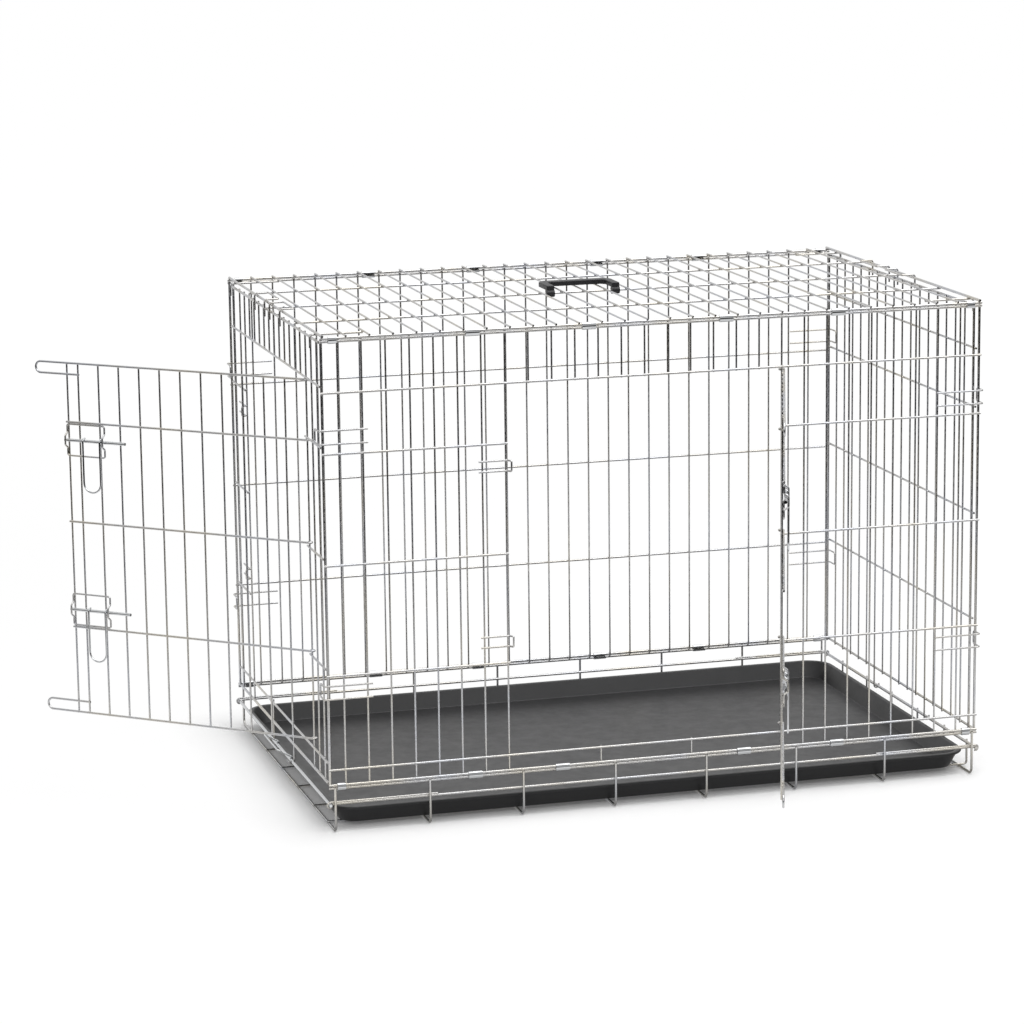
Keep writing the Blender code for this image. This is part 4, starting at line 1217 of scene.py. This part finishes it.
class CRATE_OT_clips(bpy.types.Operator):
    """Make the clips that pair the rails of two panels, each where its solid lies"""

    bl_idname = "crate.clips"
    bl_label = "Clips"

    def execute(self, context):
        for site in SITES:
            for number in range(1, CLIPS_PER_SITE + 1):
                self.clip(f"{site}_clip_{number}", site)
        return {"FINISHED"}

    def clip(self, node, site):
        low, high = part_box(node)
        inward = 1 if site.startswith("front") else -1
        axis_y = 0.0 if inward > 0 else WIDTH
        rails = (PANEL_TOP, TOP_RAIL_Z) if site.endswith("top") else (BASE_RAIL_Z, ROWS[0])
        bm = bmesh.new()
        start = low[0] + ORIGIN.x
        ring = [(start, axis_y + inward * u, z) for u, z in self.outline(*rails)]
        extruded(bm, ring, X * (high[0] - low[0]))
        piece = placed(node + "_strip", bm, bright_zinc())
        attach(piece, "crate")
        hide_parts(node)

    def outline(self, low, high):
        """A C round two rails, one over the other: open towards positive u, crowned on its shut side."""
        inner = RAIL_D / 2 + TURN_GAP
        outer = inner + CLIP_WALL
        half = CLIP_SLOT / 2
        middle = (low + high) / 2
        steps = 12
        ring = []
        for radius, way in ((outer, 1), (inner, -1)):
            side = [(radius, middle + half)]
            for i in range(steps + 1):
                turn = math.pi * i / steps
                side.append((radius * math.cos(turn), high + radius * math.sin(turn)))
            if way > 0:
                for i in range(1, steps):
                    share = 1 - 2 * i / steps
                    crown = CLIP_CROWN * (1 - share * share)
                    side.append((-radius - crown, middle + share * (high - low) / 2))
            for i in range(steps + 1):
                turn = math.pi * (1 + i / steps)
                side.append((radius * math.cos(turn), low + radius * math.sin(turn)))
            side.append((radius, middle - half))
            ring += side if way > 0 else list(reversed(side))
        return ring


class CRATE_OT_stage(bpy.types.Operator):
    """Make the floor, the lamps, the world and the camera"""

    bl_idname = "crate.stage"
    bl_label = "Stage"

    def execute(self, context):
        scene = context.scene
        stage = scene.crate_stage
        scene.view_settings.view_transform = "Standard"
        self.floor(stage)
        self.world(scene, stage)
        self.lamp("key_lamp", KEY_AT, KEY_AIM, KEY_SIDE, stage.key)
        self.lamp("fill_lamp", FILL_AT, FILL_AIM, FILL_SIDE, stage.fill)
        self.camera(scene)
        return {"FINISHED"}

    def floor(self, stage):
        """White to the camera, really lit at the crate's foot, in metal a painted glow pale near and behind
        it, with painted shade at its foot.
        """
        half = stage.floor_size / 2
        mesh = bpy.data.meshes.new("studio_floor")
        corners = [(-half, -half, 0), (half, -half, 0), (half, half, 0), (-half, half, 0)]
        mesh.from_pydata(corners, [], [(0, 1, 2, 3)])
        floor = bpy.data.objects.new("studio_floor", mesh)
        bpy.context.scene.collection.objects.link(floor)
        material, nodes, links = new_material("floor_white")
        nodes.remove(nodes["Principled BSDF"])
        matt = nodes.new("ShaderNodeBsdfDiffuse")
        matt.inputs["Color"].default_value = (PLAIN_FLOOR, PLAIN_FLOOR, PLAIN_FLOOR, 1.0)
        footprint = Vector((LENGTH / 2, WIDTH / 2, 0))
        point = Vector()
        near = self.distance(nodes, links, footprint, point, stage.pool, stage.pool * POOL_FADE)
        clear = self.distance(nodes, links, footprint, footprint, 0.0, stage.shadow)
        even = remap(nodes, links, near, GLOW_NEAR, GLOW_FAR, 0.0, 1.0)
        at_foot = remap(nodes, links, clear, GLOW_FOOT_SHARE, 1.0, 0.0, 1.0)
        glow = combined(nodes, links, "MULTIPLY", even, at_foot)
        seen = self.lit(nodes, links, remap(nodes, links, clear, MATT_FOOT, MATT_OPEN, 0.0, 1.0), glow)
        # Painted reflection: metal sees the floor as a glow, pale near the crate and towards the backdrop,
        # dim beyond
        start, end = (stage.pool * reach for reach in MIRRORED_POOL)
        around = self.distance(nodes, links, footprint, point, start, end)
        behind = self.distance(nodes, links, footprint + Y * BACKDROP_AWAY, point, *BACKDROP_REACH)
        dark = combined(nodes, links, "MINIMUM", around, behind)
        pale = remap(nodes, links, dark, MIRRORED_GLOW, 0.0, 0.0, 1.0)
        # Painted shadow: the glow that metal sees of the floor is dimmed at the crate's foot
        at_foot = remap(nodes, links, clear, MIRRORED_FOOT_SHARE, 1.0, 0.0, 1.0)
        mirrored = self.lit(nodes, links, None, combined(nodes, links, "MULTIPLY", pale, at_foot))
        by_ray(nodes, links, matt.outputs[0], mirrored, seen, nodes["Material Output"].inputs["Surface"])
        mesh.materials.append(material)

    def distance(self, nodes, links, centre, half, start, end):
        """Nought within start of a rectangle of that centre and half size, and one beyond end."""
        value = nodes.new("ShaderNodeTexCoord").outputs["Object"]
        for operation, other in (
            ("SUBTRACT", centre - ORIGIN),
            ("ABSOLUTE", None),
            ("SUBTRACT", half),
            ("MAXIMUM", (0, 0, 0)),
            ("MULTIPLY", (1, 1, 0)),
            ("LENGTH", None),
        ):
            step = nodes.new("ShaderNodeVectorMath")
            step.operation = operation
            links.new(value, step.inputs[0])
            if other is not None:
                step.inputs[1].default_value = other
            value = step.outputs["Value" if operation == "LENGTH" else "Vector"]
        return remap(nodes, links, value, 0.0, 1.0, start, end)

    def lit(self, nodes, links, shade, strength):
        """A glow of the given strength, over a matt floor of the given shade where there is one."""
        glow = nodes.new("ShaderNodeEmission")
        links.new(strength, glow.inputs["Strength"])
        if shade is None:
            return glow.outputs[0]
        matt = nodes.new("ShaderNodeBsdfDiffuse")
        links.new(shade, matt.inputs["Color"])
        both = nodes.new("ShaderNodeAddShader")
        links.new(matt.outputs[0], both.inputs[0])
        links.new(glow.outputs[0], both.inputs[1])
        return both.outputs[0]

    def world(self, scene, stage):
        """Even light, white for the camera, and for metal a pale ceiling and backdrop over dim walls."""
        world = bpy.data.worlds.new("studio")
        scene.world = world
        world.use_nodes = True
        nodes, links = world.node_tree.nodes, world.node_tree.links
        room = nodes["Background"]
        room.inputs["Color"].default_value = (1.0, 1.0, 1.0, 1.0)
        room.inputs["Strength"].default_value = stage.world
        direction = nodes.new("ShaderNodeSeparateXYZ")
        links.new(nodes.new("ShaderNodeTexCoord").outputs["Generated"], direction.inputs[0])
        mirrored = nodes.new("ShaderNodeBackground")
        overhead = remap(nodes, links, direction.outputs["Z"], ROOM_DIM, ROOM_PALE, *CEILING_RISE)
        backdrop = remap(nodes, links, direction.outputs["Y"], ROOM_DIM, ROOM_PALE, *BACKDROP_RISE)
        links.new(combined(nodes, links, "MAXIMUM", overhead, backdrop), mirrored.inputs["Strength"])
        white = nodes.new("ShaderNodeBackground")
        white.inputs["Color"].default_value = (1.0, 1.0, 1.0, 1.0)
        surface = nodes["World Output"].inputs["Surface"]
        by_ray(nodes, links, room.outputs[0], mirrored.outputs[0], white.outputs[0], surface)

    def lamp(self, name, place, target, size, power):
        data = bpy.data.lights.new(name, "AREA")
        data.shape = "SQUARE"
        data.size = size
        data.energy = power
        lamp = bpy.data.objects.new(name, data)
        lamp.location = place
        lamp.rotation_euler = (Vector(target) - Vector(place)).to_track_quat("-Z", "Y").to_euler()
        bpy.context.scene.collection.objects.link(lamp)

    def camera(self, scene):
        data = bpy.data.cameras.new("photo_view")
        data.lens = CAMERA_LENS
        data.sensor_width = CAMERA_SENSOR
        data.clip_end = 100.0
        camera = bpy.data.objects.new("photo_view", data)
        back = -CAMERA_AHEAD.normalized()
        side = CAMERA_UP.cross(back).normalized()
        up = back.cross(side)
        turn = Matrix((side, up, back)).transposed().to_4x4()
        camera.matrix_world = Matrix.Translation(CAMERA_AT - ORIGIN) @ turn
        scene.collection.objects.link(camera)
        scene.camera = camera


def combined(nodes, links, operation, first, second):
    """The two values put together by a math node."""
    math_node = nodes.new("ShaderNodeMath")
    math_node.operation = operation
    links.new(first, math_node.inputs[0])
    links.new(second, math_node.inputs[1])
    return math_node.outputs[0]


def by_ray(nodes, links, plain, metal, seen, surface):
    """Links one shader for metal's reflections, one for what the camera sees, and one for all other rays."""
    path = nodes.new("ShaderNodeLightPath")
    camera, clear = path.outputs["Is Camera Ray"], path.outputs["Is Transmission Ray"]
    directly = combined(nodes, links, "MAXIMUM", camera, clear)
    for factor, shader in ((path.outputs["Is Glossy Ray"], metal), (directly, seen)):
        mix = nodes.new("ShaderNodeMixShader")
        links.new(factor, mix.inputs["Fac"])
        links.new(plain, mix.inputs[1])
        links.new(shader, mix.inputs[2])
        plain = mix.outputs[0]
    links.new(plain, surface)


class CRATE_PT_panel(bpy.types.Panel):
    bl_idname = "CRATE_PT_panel"
    bl_label = "Wire Dog Crate"
    bl_space_type = "VIEW_3D"
    bl_region_type = "UI"
    bl_category = "Crate"

    def draw(self, context):
        for group in (context.scene.crate_sizes, context.scene.crate_finish, context.scene.crate_stage):
            for name in group.__annotations__:
                self.layout.prop(group, name)
        for operator in OPERATORS:
            self.layout.operator(operator.bl_idname)


OPERATORS = (
    CRATE_OT_base_frame,
    CRATE_OT_front_panel,
    CRATE_OT_back_panel,
    CRATE_OT_end_panels,
    CRATE_OT_top_panel,
    CRATE_OT_clips,
    CRATE_OT_doors,
    CRATE_OT_bolts,
    CRATE_OT_tray,
    CRATE_OT_tray_stop,
    CRATE_OT_handle,
    CRATE_OT_stage,
)
GROUPS = {"crate_sizes": CrateSizes, "crate_finish": CrateFinish, "crate_stage": StageSettings}


def register():
    for item in (*GROUPS.values(), *OPERATORS, CRATE_PT_panel):
        bpy.utils.register_class(item)
    for name, group in GROUPS.items():
        setattr(bpy.types.Scene, name, PointerProperty(type=group))


def unregister():
    for name in GROUPS:
        delattr(bpy.types.Scene, name)
    for item in reversed((*GROUPS.values(), *OPERATORS, CRATE_PT_panel)):
        bpy.utils.unregister_class(item)


def main():
    register()
    for operator in OPERATORS:
        folder, name = operator.bl_idname.split(".")
        getattr(getattr(bpy.ops, folder), name)()


if __name__ == "__main__":
    main()
